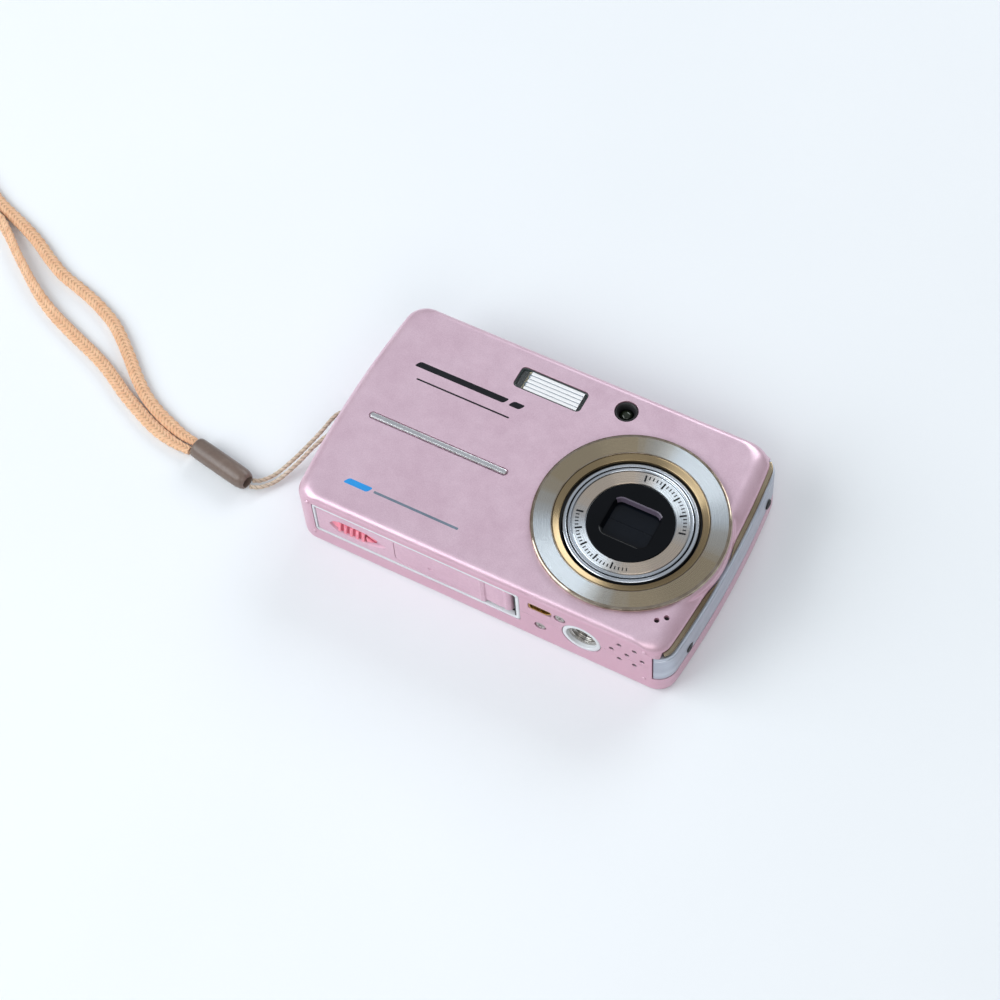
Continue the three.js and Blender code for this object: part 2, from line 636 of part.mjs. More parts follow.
// The thin cord leaves the ferrule, goes round the eyelet's bar and comes back beside itself.
const THIN_CORD = { radius: 0.5, steps: 34 };
const THIN_ROUTE = [
  [-61.5, -24.1, 2.3], [-59.8, -23, 1.6], [-57.3, -19.9, 1.3], [-54.8, -14.4, 2.5], [-52.6, -9.2, 4.7],
  [-50.2, -5.5, 6.6], [-48.2, -3.8, 7.2], [-46.2, -3.7, 7.3], [-44.6, -2.8, 7.3], [-44.3, -1.2, 7.3],
  [-45.3, 0.2, 7.3], [-47.2, 0.6, 7.3], [-49.3, 0.6, 7.4], [-50.9, -0.5, 7.4], [-51.7, -2.6, 7.2],
  [-52.4, -5.2, 6.4], [-53.9, -8.9, 4.7], [-56.1, -13.9, 2.6], [-58.4, -18.6, 1.4], [-60.4, -21.3, 1.6],
  [-61.7, -22.4, 2.3],
];

// The braid leaves the ferrule's other end, makes the hand loop and comes back.
const BRAID = { half: 1, height: 0.85, steps: 62 };
const BRAID_ROUTE = [
  [-78.6, -19.2, 1.5], [-82.7, -18.6, 1.2], [-86.6, -17.5, 1.1], [-91.3, -15.8, 1.1], [-96.4, -13.2, 1.1],
  [-101, -9.8, 1.1], [-105.4, -6, 1.1], [-109.9, -2.3, 1.1], [-113.7, 0.4, 1.1], [-118, 2.5, 1.1],
  [-122.7, 4.3, 1.1], [-127.5, 5.7, 1.1], [-132.5, 7.1, 1.1], [-137.9, 9.6, 1.1], [-143.2, 12.5, 1.1],
  [-148.2, 14.7, 1.1], [-153.4, 16.6, 1.1], [-158.2, 18.4, 1.1], [-163.3, 21.1, 1.1], [-169, 24.9, 1.1],
  [-175, 27.2, 1.1], [-181, 26, 1.1], [-184.1, 20.9, 1.1], [-182.4, 15.4, 1.1], [-177, 12.4, 1.1],
  [-171, 12.3, 1.1], [-165.5, 13.7, 1.1], [-160.4, 14.9, 1.1], [-155.7, 14, 1.1], [-151, 11.1, 1.1],
  [-146.4, 7.6, 1.1], [-142.2, 4.6, 1.1], [-138, 1.7, 1.1], [-133.4, -1.1, 1.1], [-128.5, -3.5, 1.1],
  [-123, -5.6, 1.1], [-117.9, -7.4, 1.1], [-113.3, -9, 1.1], [-108.8, -10.9, 1.1], [-105.4, -12.7, 1.1],
  [-101.4, -14.9, 1.1], [-97.4, -16.8, 1.1], [-92.5, -18.9, 1.1], [-88.7, -20.2, 1.1], [-83.7, -21.3, 1.2],
  [-79, -21.7, 1.5],
];

function cordAlong(route, steps, halfTall, halfWide) {
  const points = route.map((point) => new THREE.Vector3(...point));
  const extrudePath = new THREE.CatmullRomCurve3(points, false, 'centripetal');
  const section = [];
  for (let i = 0; i < 8; i += 1) {
    const angle = (Math.PI / 4) * (i + 0.5);
    section.push(new THREE.Vector2(halfTall * Math.cos(angle), halfWide * Math.sin(angle)));
  }
  const outline = new THREE.Shape(section);
  return solid(new THREE.ExtrudeGeometry(outline, { steps, extrudePath, bevelEnabled: false }));
}

const FERRULE = { rear: [-77.9, -20.5, 2.55], front: [-62.4, -23.4, 2.55], radius: 2.5 };

function strapFerrule() {
  const rear = new THREE.Vector3(...FERRULE.rear);
  const front = new THREE.Vector3(...FERRULE.front);
  const length = rear.distanceTo(front);
  const { radius } = FERRULE;
  const profile = [[0, 0], [radius - 0.3, 0], [radius, 0.3], [radius, length - 1.5],
    [radius - 0.4, length - 0.5], [1.7, length], [1.7, length - 2], [0, length - 2]];
  const body = new THREE.LatheGeometry(profile.map(([r, s]) => new THREE.Vector2(r, s)), 24);
  const heading = front.clone().sub(rear).normalize();
  const turn = new THREE.Quaternion().setFromUnitVectors(new THREE.Vector3(0, 1, 0), heading);
  body.applyQuaternion(turn);
  body.translate(rear.x, rear.y, rear.z);
  return solid(body);
}

// ---------------------------------------------------------------- assembly
const camera = new THREE.Group();

camera.add(
  piece('front_cover', frontCover(), pinkShell),
  piece('rear_cover', rearCover(), pinkShell),
  piece('side_trim', sideTrim(), silverTrim),
  piece('trim_band_upper', trimBandHalf(true), bronze),
  piece('trim_band_lower', trimBandHalf(false), bronze),
  piece('accent_bar', accentBar(), polishedChrome),
  piece('flash_window', flashWindow(), clearGlass),
  piece('flash_reflector', flashReflector(), polishedChrome),
  piece('flash_tube', flashTube(), clearGlass),
  piece('flash_capacitor', flashCapacitor(), blackMatte),
  piece('door_frame', doorFrame(), greyPlastic),
  piece('door_hinge_pin', hingePin(), steel),
  piece('tripod_socket', tripodSocket(), greyPlastic),
  piece('usb_connector', usbConnector(), brassGold),
  piece('display_window', displayWindow(), blackGloss),
  piece('display_module', displayModule(), cellGrey),
  piece('chassis_plate', chassisPlate(), steel),
  piece('main_board', mainBoard(), boardGreen),
  piece('battery_bay', batteryBay(), blackMatte),
  piece('battery_pack', battery(), cellGrey),
  piece('battery_terminals', batteryTerminals(), brassGold),
  piece('card_socket', cardSocket(), steel),
  piece('memory_card', memoryCard(), cardBlue),
  piece('speaker', speaker(), blackMatte),
  piece('microphone', microphone(), steel),
  piece('button_board', buttonBoard(), boardGreen),
  piece('rear_key_board', rearKeyBoard(), boardGreen),
  piece('zoom_motor', zoomMotor(), steel),
  piece('strap_eyelet', strapEyelet(), silverTrim),
);

const focusLamp = new THREE.Group();
focusLamp.position.set(FOCUS_LAMP.x, FOCUS_LAMP.y, 0);
focusLamp.add(
  piece('focus_lamp_bezel', focusLampBezel(), blackMatte),
  piece('focus_lamp_lens', focusLampLens(), clearGlass),
);
camera.add(focusLamp);

for (const { name, x, z } of SCREWS) {
  camera.add(piece(name, screw('base', x, z, 1.2, BASE_Y + 0.1, BASE_Y + 5), steel));
}
for (const { name, y, z } of SIDE_SCREWS) {
  camera.add(piece(name, screw('side', y, z, 1.2, 47, 43), blackMatte));
}

const batteryDoorGroup = new THREE.Group();
batteryDoorGroup.add(
  piece('battery_door', batteryDoor(), pinkShell),
  piece('latch_slider', latchSlider(), coralPlastic),
);
camera.add(batteryDoorGroup);

for (const button of TOP_BUTTONS) camera.add(piece(button.name, topButton(button), polishedChrome));
for (const { name, y } of REAR_KEYS) camera.add(piece(name, rearKey(y), polishedChrome));
camera.add(piece('zoom_rocker', zoomRocker(), polishedChrome));

const lens = new THREE.Group();
lens.position.set(LENS.x, LENS.y, 0);
lens.add(
  piece('lens_ring', lensRing(), spunMetal),
  piece('lens_ring_insert', lensRingInsert(), bronze),
  piece('lens_housing', lensHousing(), blackMatte),
  piece('cam_ring', camRing(), blackMatte),
  piece('outer_barrel', outerBarrel(), polishedChrome),
  piece('inner_barrel', innerBarrel(), spunMetal),
  piece('lens_faceplate', lensFaceplate(), spunMetal),
  piece('barrier_bezel', barrierBezel(), blackGloss),
  piece('barrier_blade_upper', barrierBlade(1), blackMatte),
  piece('barrier_blade_lower', barrierBlade(-1), blackMatte),
  piece('lens_cell', lensCell(), blackMatte),
  piece('front_element', frontElement(), clearGlass),
  piece('sensor_board', sensorBoard(), boardGreen),
  piece('image_sensor', imageSensor(), cellGrey),
);
camera.add(lens);

camera.add(
  piece('strap_loop', cordAlong(THIN_ROUTE, THIN_CORD.steps, THIN_CORD.radius, THIN_CORD.radius), beigeCord),
  piece('strap_ferrule', strapFerrule(), taupe),
  piece('wrist_strap', cordAlong(BRAID_ROUTE, BRAID.steps, BRAID.height, BRAID.half), peachBraid),
);

export default camera;
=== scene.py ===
"""A slim compact digital camera lying on its back, with a braided wrist strap.

Pieces are drawn in millimetres in the row frame and scaled to metres as they are made.
"""
import math
import random

import bmesh
import bpy
import numpy as np
from mathutils import Matrix, Vector


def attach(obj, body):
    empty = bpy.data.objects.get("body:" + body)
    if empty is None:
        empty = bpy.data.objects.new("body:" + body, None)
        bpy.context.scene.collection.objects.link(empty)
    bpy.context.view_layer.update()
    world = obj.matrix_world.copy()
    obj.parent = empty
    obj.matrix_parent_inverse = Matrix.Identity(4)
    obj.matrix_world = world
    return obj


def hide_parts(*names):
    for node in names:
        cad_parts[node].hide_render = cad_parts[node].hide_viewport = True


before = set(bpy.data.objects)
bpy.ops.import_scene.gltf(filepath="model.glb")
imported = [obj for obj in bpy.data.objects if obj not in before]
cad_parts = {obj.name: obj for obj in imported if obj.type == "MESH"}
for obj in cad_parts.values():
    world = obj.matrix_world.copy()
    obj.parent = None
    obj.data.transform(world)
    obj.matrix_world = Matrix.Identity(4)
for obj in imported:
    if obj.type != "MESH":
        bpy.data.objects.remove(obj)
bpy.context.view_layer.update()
scene = bpy.context.scene
scene.view_settings.view_transform = "Standard"
MM = 0.001
random.seed(7)

# ---------------------------------------------------------------- dimensions, in millimetres
BASE_Y, TOP_Y, FACE_Z, PART_Z = -28.2, 28.2, 19.3, 10.3
LENS_X, LENS_Y = 24.6, -2.6
KEYS_X = -35.0
TOP_KEY_Z = 10.4
TRIPOD = (25.45, 9.95)
FOCUS_LAMP = (11, 22.4)
SIDE_SCREW_Z = 7.7
SIDE_SCREW_Y = (-18.6, 21)

# ---------------------------------------------------------------- camera
eye = bpy.data.objects.new("eye", bpy.data.cameras.new("eye"))
eye.data.sensor_width = 36
eye.data.lens = 94.32
eye.data.clip_start = 0.01
right = Vector((0.88156081, 0.46959211, -0.04830919))
up = Vector((-0.3854575, 0.77511652, 0.50061652))
back = Vector((0.27253083, -0.42270277, 0.86432015))
eye.matrix_world = Matrix((
    (right.x, up.x, back.x, 0.1520977),
    (right.y, up.y, back.y, -0.2514067),
    (right.z, up.z, back.z, 0.5126330),
    (0, 0, 0, 1)))
scene.collection.objects.link(eye)
scene.camera = eye


# ---------------------------------------------------------------- surface looks
class Look:
    """A Principled surface whose inputs come from procedural nodes in object space."""

    def __init__(self, name, roughness=0.5, metallic=0.0, **sockets):
        self.material = bpy.data.materials.new(name)
        self.material.use_nodes = True
        self.tree = self.material.node_tree
        self.shader = self.tree.nodes["Principled BSDF"]
        self.shader.inputs["Roughness"].default_value = roughness
        self.shader.inputs["Metallic"].default_value = metallic
        for key, value in sockets.items():
            self.shader.inputs[key.replace("_", " ")].default_value = value
        self.place = self.add("ShaderNodeTexCoord").outputs["Object"]

    def add(self, kind, settings=None, **inputs):
        node = self.tree.nodes.new(kind)
        for key, value in (settings or {}).items():
            setattr(node, key, value)
        for key, value in inputs.items():
            name = key.replace("_", " ")
            numbered = name[0] == "i" and name[1:].isdigit()
            socket = node.inputs[int(name[1:]) if numbered else name]
            if isinstance(value, bpy.types.NodeSocket):
                self.tree.links.new(value, socket)
            else:
                socket.default_value = value
        return node

    def join(self, output, name):
        self.tree.links.new(output, self.shader.inputs[name])
        return self

    def noise(self, scale, detail=2.0, roughness=0.5, vector=None):
        node = self.add("ShaderNodeTexNoise", Vector=vector or self.place, Scale=scale, Detail=detail,
                        Roughness=roughness)
        return node.outputs["Fac"]

    def lines(self, value, scale, detail=3.0):
        node = self.add("ShaderNodeTexNoise", {"noise_dimensions": "1D"}, W=value, Scale=scale, Detail=detail)
        return node.outputs["Fac"]

    def math(self, operation, a, b=0.0, c=0.0):
        return self.add("ShaderNodeMath", {"operation": operation}, i0=a, i1=b, i2=c).outputs[0]

    def spread(self, value, low, high, start=0.3, end=0.7):
        node = self.add("ShaderNodeMapRange", Value=value)
        for key, number in (("From Min", start), ("From Max", end), ("To Min", low), ("To Max", high)):
            node.inputs[key].default_value = number
        return node.outputs["Result"]

    def blend(self, value, a, b):
        node = self.add("ShaderNodeMix", {"data_type": "RGBA"})
        for index, item in ((0, value), (6, a), (7, b)):
            if isinstance(item, bpy.types.NodeSocket):
                self.tree.links.new(item, node.inputs[index])
            else:
                node.inputs[index].default_value = (*item, 1)
        return node.outputs[2]

    def relief(self, height, strength, distance, soften=0.0):
        """Bumps from a height, over edges softened by that radius in millimetres."""
        node = self.add("ShaderNodeBump", Height=height, Strength=strength, Distance=distance * MM)
        if soften:
            edge = self.add("ShaderNodeBevel", {"samples": 6}, Radius=soften * MM)
            self.tree.links.new(edge.outputs[0], node.inputs["Normal"])
        self.join(node.outputs[0], "Normal")
        return self

    def sweep(self, across, up):
        """Distance from the lens axis along the direction (across, up)."""
        parts = self.add("ShaderNodeSeparateXYZ", Vector=self.place)
        a = self.math("MULTIPLY", self.math("SUBTRACT", parts.outputs["X"], LENS_X * MM), across)
        b = self.math("MULTIPLY", self.math("SUBTRACT", parts.outputs["Y"], LENS_Y * MM), up)
        return self.math("ADD", a, b)

    def radius_from(self, x, y, plane="XY"):
        parts = self.add("ShaderNodeSeparateXYZ", Vector=self.place)
        a = self.math("SUBTRACT", parts.outputs[plane[0]], x * MM)
        b = self.math("SUBTRACT", parts.outputs[plane[1]], y * MM)
        squares = self.math("ADD", self.math("MULTIPLY", a, a), self.math("MULTIPLY", b, b))
        return self.math("SQRT", squares)


def srgb(*values):
    return tuple((v / 255 / 12.92) if v < 10 else ((v / 255 + 0.055) / 1.055) ** 2.4 for v in values)


def coated(name, dark, light, roughness, metallic=0.0, scale=2600, grain=0.12, bump=0.02, soften=0.1,
           cloud=120, deep=None, **sockets):
    """A moulded or painted surface: fine grain over a slow change of tone, with softened edges, and painted
    shade on upright faces when a shade colour is given.
    """
    look = Look(name, roughness, metallic, **sockets)
    fine = look.noise(scale, 1.5)
    slow = look.noise(cloud, 2.5)
    tone = look.math("ADD", look.spread(fine, -grain, grain, 0.35, 0.65), look.spread(slow, 0.25, 0.75))
    colour = look.blend(tone, dark, light)
    # Painted shade: faces that stand upright are tinted towards the given shade colour.
    if deep:
        normal = look.add("ShaderNodeNewGeometry").outputs["Normal"]
        upward = look.math("ABSOLUTE", look.add("ShaderNodeSeparateXYZ", Vector=normal).outputs["Z"])
        colour = look.blend(look.spread(upward, 0.7, 0.0, 0.1, 0.97), colour, deep)
    look.join(colour, "Base Color")
    look.join(look.spread(look.noise(cloud * 4, 2.0), roughness * 0.86, roughness * 1.14), "Roughness")
    look.relief(fine, 0.35, bump, soften)
    return look.material


def spun(name, dark, light, roughness, anisotropy, pitch=9000, bump=0.006, soften=0.0, painted_wedge_tint=None):
    """Metal turned about the lens axis, with fine rings that stretch its highlights, and painted reflections
    when a wedge tint is given.
    """
    look = Look(name, roughness, 1.0, Anisotropic=anisotropy, Anisotropic_Rotation=0.25)
    radius = look.radius_from(LENS_X, LENS_Y)
    rings = look.lines(radius, pitch)
    tone = look.spread(look.lines(radius, pitch * 0.3), 0.0, 1.0, 0.3, 0.7)
    colour = look.blend(tone, dark, light)
    # Painted reflection: away from a fixed lit axis the metal is tinted towards the given colour, painting in
    # dark wedges of reflected room; near that axis it keeps its bright colour.
    if painted_wedge_tint:
        lit_axis_cosine = look.math("DIVIDE", look.sweep(0.584, 0.812), radius)
        uneven = look.math("MULTIPLY_ADD", look.lines(lit_axis_cosine, 7.0), 0.35, -0.17)
        near_lit_axis = look.math("ADD", look.math("MULTIPLY", lit_axis_cosine, lit_axis_cosine), uneven)
        colour = look.blend(look.spread(near_lit_axis, 0.0, 1.0, 0.25, 0.8), painted_wedge_tint, colour)
    look.join(colour, "Base Color")
    look.join(look.spread(rings, roughness * 0.75, roughness * 1.25), "Roughness")
    tangent = look.add("ShaderNodeTangent", {"direction_type": "RADIAL", "axis": "Z"})
    look.join(tangent.outputs[0], "Tangent")
    look.relief(rings, 0.25, bump, soften)
    return look.material


def brushed(name, dark, light, roughness, stretch=(60, 60, 4000), bump=0.008, soften=0.1):
    """Metal or metallic paint with fine lines along one direction."""
    look = Look(name, roughness, 1.0)
    scaled = look.add("ShaderNodeMapping", Vector=look.place, Scale=stretch)
    streaks = look.noise(1.0, 3.0, vector=scaled.outputs[0])
    look.join(look.blend(look.spread(streaks, 0.0, 1.0), dark, light), "Base Color")
    look.join(look.spread(look.noise(500, 2.0), roughness * 0.85, roughness * 1.15), "Roughness")
    look.relief(streaks, 0.3, bump, soften)
    return look.material


PINK_LIGHT, PINK_DARK = srgb(228, 200, 214), srgb(212, 180, 196)
looks = {
    # Painted shade: the pink covers darken on their upright faces towards the shade colour given below.
    "pink": coated("pink_paint", PINK_DARK, PINK_LIGHT, 0.34, 0.42, 5200, 0.3, 0.008, 0.12,
                   deep=srgb(207, 156, 175), Coat_Weight=0.2, Coat_Roughness=0.2),
    "door": coated("door_paint", srgb(204, 166, 184), srgb(218, 182, 198), 0.44, 0.15, 1800, 0.2, 0.012,
                   0.12),
    "trim": brushed("silver_trim", srgb(176, 181, 193), srgb(194, 199, 209), 0.34, (90, 90, 700), 0.004,
                    0.12),
    "bronze": brushed("dark_band", srgb(140, 122, 98), srgb(188, 172, 146), 0.24, (60, 60, 3000), 0.004, 0.1),
    "chrome": brushed("polished_trim", srgb(226, 227, 230), srgb(240, 241, 243), 0.24, (40, 900, 900),
                      0.0006, 0.06),
    "rim": brushed("polished_rim", srgb(150, 134, 116), srgb(188, 176, 160), 0.12, (500, 500, 60), 0.002,
                   0.06),
    # Painted reflection: the ring, insert and plate are tinted towards their last colour in wedges away from
    # a fixed lit axis.
    "ring": spun("spun_ring", srgb(204, 212, 217), srgb(224, 230, 234), 0.27, 1.0, 14000, 0.0008,
                 painted_wedge_tint=srgb(192, 176, 148)),
    "insert": spun("warm_band", srgb(170, 148, 112), srgb(186, 164, 130), 0.3, 0.8, 12000, 0.0008,
                   painted_wedge_tint=srgb(168, 148, 114)),
    "barrel": spun("barrel_silver", srgb(200, 206, 214), srgb(214, 220, 226), 0.24, 0.3, 12000, 0.002, 0.06),
    "plate": spun("spun_plate", srgb(208, 214, 219), srgb(222, 228, 232), 0.3, 1.0, 14000, 0.0004,
                  painted_wedge_tint=srgb(230, 214, 196)),
    "grey": coated("light_grey", srgb(210, 213, 217), srgb(224, 227, 230), 0.48, 0.0, 2600, 0.1, 0.02, 0.08),
    "black": coated("soft_black", srgb(22, 22, 24), srgb(34, 34, 37), 0.5, 0.0, 2400, 0.2, 0.02, 0.08),
    "gloss": coated("gloss_black", srgb(5, 7, 10), srgb(10, 12, 16), 0.09, 0.0, 900, 0.1, 0.0004, 0.15,
                    Specular_IOR_Level=0.16),
    "blade": coated("blade_black", srgb(9, 13, 19), srgb(13, 18, 26), 0.24, 0.0, 1500, 0.15, 0.001, 0.06,
                    Specular_IOR_Level=0.22),
    # Painted light: a lighter copy of the bezel's black, for the lit far wall of its well.
    "well": coated("painted_lit_well_wall", srgb(76, 68, 82), srgb(92, 82, 98), 0.3, 0.0, 1500, 0.15, 0.002, 0.05),
    # Painted shade for the bottom of the door's moulded groove.
    "seam": coated("door_seam_shade", srgb(138, 98, 112), srgb(156, 114, 128), 0.6, 0.0, 1500, 0.15, 0.004, 0.02),
    # Painted shadow for the latch ribs and arrow.
    "deep_coral": coated("coral_shade", srgb(172, 52, 78), srgb(196, 74, 98), 0.5, 0.0, 1500, 0.15, 0.006,
                         0.05),
    "steel": brushed("plain_steel", srgb(168, 165, 160), srgb(196, 193, 188), 0.28, (700, 700, 90), 0.004,
                     0.06),
    "gold": brushed("gilt_contact", srgb(186, 142, 74), srgb(216, 176, 108), 0.25, (700, 90, 700), 0.004,
                    0.05),
    "coral": coated("coral_plastic", srgb(236, 124, 146), srgb(246, 148, 166), 0.4, 0.0, 1500, 0.12, 0.012,
                    0.1,
                    Subsurface_Weight=0.12, Subsurface_Scale=0.001),
    "taupe": coated("taupe_plastic", srgb(104, 88, 79), srgb(120, 104, 94), 0.36, 0.0, 1300, 0.18, 0.02, 0.1),
    "board": coated("circuit_green", srgb(24, 76, 52), srgb(44, 104, 70), 0.4, 0.0, 900, 0.3, 0.03, 0.05,
                    300),
    "wrap": coated("battery_wrap", srgb(70, 74, 82), srgb(92, 96, 104), 0.42, 0.0, 1100, 0.2, 0.02, 0.1),
    "card": coated("card_blue", srgb(22, 36, 70), srgb(34, 50, 90), 0.42, 0.0, 1500, 0.2, 0.02, 0.1),
    "module": coated("screen_module", srgb(60, 62, 66), srgb(84, 86, 90), 0.4, 0.2, 900, 0.2, 0.02, 0.1),
    "ink": coated("dark_print", srgb(16, 17, 21), srgb(28, 30, 35), 0.5, 0.0, 3000, 0.2, 0.002, 0.0,
                  Specular_IOR_Level=0.2),
    # Grey used for print and for the painted shade between the flash ribs.
    "grey_ink": coated("grey_print_and_shade", srgb(92, 108, 122), srgb(120, 134, 148), 0.4, 0.0, 3000, 0.2, 0.002,
                       0.0),
    "blue_ink": coated("blue_print", srgb(24, 132, 206), srgb(44, 152, 222), 0.35, 0.0, 3000, 0.2, 0.002,
                       0.0),
}


def clear_plastic(name, dark, light, through, roughness, bump=0.01):
    look = Look(name, roughness, 0.0, IOR=1.49, Transmission_Weight=through, Coat_Weight=0.3)
    look.join(look.blend(look.spread(look.noise(900), 0, 1), dark, light), "Base Color")
    look.join(look.spread(look.noise(700, 2.0), roughness * 0.7, roughness * 1.4), "Roughness")
    look.relief(look.noise(500, 1.0), 0.1, bump)
    return look.material


def lens_glass(name, tint, body):
    look = Look(name, 0.03, 0.0, IOR=1.6, Transmission_Weight=0.7, Coat_Weight=1.0)
    look.shader.inputs["Coat Tint"].default_value = (*tint, 1)
    radius = look.spread(look.noise(300, 1.0), 0, 1)
    look.join(look.blend(radius, body, tint), "Base Color")
    look.join(look.spread(look.noise(1200), 0.02, 0.06), "Roughness")
    return look.material


def screen():
    look = Look("screen_window", 0.09, 0.0, Coat_Weight=0.6, Coat_Roughness=0.05)
    parts = look.add("ShaderNodeSeparateXYZ", Vector=look.place)
    inside = look.math("MULTIPLY",
                       look.math("LESS_THAN", look.math("ABSOLUTE",
                                                        look.math("SUBTRACT", parts.outputs["X"], 0.011)),
                                 0.0305),
                       look.math("LESS_THAN", look.math("ABSOLUTE", parts.outputs["Y"]), 0.0229))
    frame_tone = look.blend(look.spread(look.noise(900), 0, 1), srgb(9, 9, 11), srgb(16, 16, 19))
    panel_tone = look.blend(look.spread(look.noise(300), 0, 1), srgb(30, 33, 38), srgb(40, 44, 50))
    look.join(look.blend(inside, frame_tone, panel_tone), "Base Color")
    look.join(look.spread(look.noise(600), 0.06, 0.12), "Roughness")
    return look.material


looks["flash"] = clear_plastic("flash_ribs", srgb(252, 253, 254), srgb(254, 254, 255), 0.16, 0.12)
looks["clear"] = clear_plastic("flash_clear", srgb(214, 222, 222), srgb(232, 238, 238), 0.96, 0.02, 0.0002)
looks["smoke"] = coated("smoked_plastic", srgb(52, 60, 60), srgb(66, 76, 76), 0.3, 0.0, 900, 0.1, 0.001, 0.05)
looks["mirror"] = brushed("flash_mirror", srgb(232, 234, 236), srgb(246, 247, 248), 0.16, (60, 900, 900),
                          0.003, 0.05)
looks["tan"] = brushed("tan_edge", srgb(176, 160, 128), srgb(204, 190, 160), 0.3, (900, 90, 90), 0.003, 0.05)
looks["lens_glass"] = lens_glass("coated_glass", srgb(150, 170, 210), srgb(60, 70, 96))
looks["lamp_glass"] = lens_glass("lamp_glass", srgb(120, 132, 110), srgb(40, 40, 34))
looks["screen"] = screen()


# ---------------------------------------------------------------- outlines
def rect(x0, x1, y0, y1, radius, steps=6):
    points = []
    corners = ((x1 - radius, y1 - radius), (x0 + radius, y1 - radius), (x0 + radius, y0 + radius),
               (x1 - radius, y0 + radius))
    for quarter, (x, y) in enumerate(corners):
        for i in range(steps + 1):
            angle = math.pi / 2 * (quarter + i / steps)
            points.append(Vector((x + radius * math.cos(angle), y + radius * math.sin(angle))))
    return points


def disc(x, y, radius, steps=48):
    return [Vector((x + radius * math.cos(2 * math.pi * i / steps), y
                    + radius * math.sin(2 * math.pi * i / steps)))
            for i in range(steps)]


def offset(points, inset):
    """Moves a counter-clockwise outline inwards by inset, with mitred corners."""
    if not inset:
        return points
    moved = []
    for i, here in enumerate(points):
        before = (here - points[i - 1]).normalized()
        after = (points[(i + 1) % len(points)] - here).normalized()
        n1, n2 = Vector((-before.y, before.x)), Vector((-after.y, after.x))
        moved.append(here + (n1 + n2) * (inset / max(1 + n1.dot(n2), 0.2)))
    return moved


def shell_outline(left, right, side, radius=4.6, steps=30, turn=14):
    """The camera's outline: straight top and base, bowed ends, round corners, with an inset on each side."""
    lean = 0.1
    half = 28.2 - side
    reach = half - radius + radius * math.sin(lean)
    points = []

    def bow(x, direction):
        for i in range(-steps, steps + 1):
            t = direction * i / (steps + 1)
            points.append(Vector((x + direction * 1.2 * (1 - t * t), reach * t)))

    def corner(x, y, start, stop):
        for i in range(turn + 1):
            angle = start + (stop - start) * i / turn
            points.append(Vector((x + radius * math.cos(angle), y + radius * math.sin(angle))))

    quarter = math.pi / 2
    back = radius * math.cos(lean)
    high, low = half - radius, -half + radius
    bow(46.3 - right, 1)
    corner(46.3 - right - back, high, lean, quarter)
    corner(left - 46.3 + back, high, quarter, 2 * quarter - lean)
    bow(left - 46.3, -1)
    corner(left - 46.3 + back, low, 2 * quarter + lean, 3 * quarter)
    corner(46.3 - right - back, low, 3 * quarter, 4 * quarter - lean)
    return points


def body_outline(inset, pull=0.0, steps=30, turn=14):
    return shell_outline(inset, inset + pull, inset, max(4.6 - inset, 0.9), steps, turn)


# ---------------------------------------------------------------- meshes
TURN = {
    "front": lambda u, v, w: (u, v, w),
    "base": lambda u, v, w: (u, w, v),
    "side": lambda u, v, w: (w, u, v),
}


def skin(bm, rows, closed=True, material=0):
    count = len(rows[0])
    for a, b in zip(rows, rows[1:]):
        for i in range(count if closed else count - 1):
            j = (i + 1) % count
            face = bm.faces.new((a[i], a[j], b[j], b[i]))
            face.material_index = material


def closed_rows(rows):
    """A solid from rows of points, closed by a face over the first and the last row."""
    bm = bmesh.new()
    made = [[bm.verts.new(v) for v in row] for row in rows]
    skin(bm, made)
    bm.faces.new(made[0])
    bm.faces.new(made[-1])
    return bm


def plate(outer, levels, holes=(), plane="front", bm=None):
    """A solid between levels of one axis; each level is (inset from every edge, height)."""
    bm = bm or bmesh.new()
    turn = TURN[plane]
    ends = ([], [])
    for k, loop in enumerate((outer, *holes)):
        sign = 1 if k == 0 else -1
        rows = [[bm.verts.new(turn(p.x, p.y, w)) for p in offset(loop, sign * inset)] for inset, w in levels]
        skin(bm, rows)
        ends[0].append(rows[0])
        ends[1].append(rows[-1])
    for side in ends:
        if holes:
            edges = [bm.edges.get((row[i - 1], row[i])) for row in side for i in range(len(row))]
            bmesh.ops.triangle_fill(bm, use_beauty=True, use_dissolve=False, edges=edges)
        else:
            bm.faces.new(side[0])
    return bm


def lathe(profile, centre=(0, 0), axis="Z", steps=128, bm=None, materials=None):
    """Turns a (radius, height) profile; a profile that leaves the axis is closed on itself."""
    bm = bm or bmesh.new()
    rows = []
    for radius, height in profile:
        ring = []
        for i in range(steps if radius > 1e-6 else 1):
            angle = 2 * math.pi * i / steps
            u, v = centre[0] + radius * math.cos(angle), centre[1] + radius * math.sin(angle)
            ring.append(bm.verts.new((u, v, height) if axis == "Z" else (u, height, v)))
        rows.append(ring)
    hollow = len(rows[0]) > 1 and len(rows[-1]) > 1
    spans = list(zip(rows, rows[1:] + [rows[0]])) if hollow else list(zip(rows, rows[1:]))
    for k, (a, b) in enumerate(spans):
        for i in range(steps):
            j = (i + 1) % steps
            loop = [a[i % len(a)], a[j % len(a)], b[j % len(b)], b[i % len(b)]]
            unique = [v for n, v in enumerate(loop) if v not in loop[:n]]
            if len(unique) > 2:
                face = bm.faces.new(unique)
                face.material_index = materials[k] if materials else 0
    return bm


def block(x0, x1, y0, y1, z0, z1, radius=0.15, bm=None):
    levels = [(radius, z0), (0, z0 + radius), (0, z1 - radius), (radius, z1)]
    return plate(rect(x0, x1, y0, y1, max(radius, 0.02), 3), levels, bm=bm)


def merged(*parts):
    """One mesh holding several separate closed ones."""
    whole = bmesh.new()
    for part in parts:
        mesh = bpy.data.meshes.new("part")
        bmesh.ops.recalc_face_normals(part, faces=part.faces)
        part.to_mesh(mesh)
        part.free()
        whole.from_mesh(mesh)
        bpy.data.meshes.remove(mesh)
    return whole


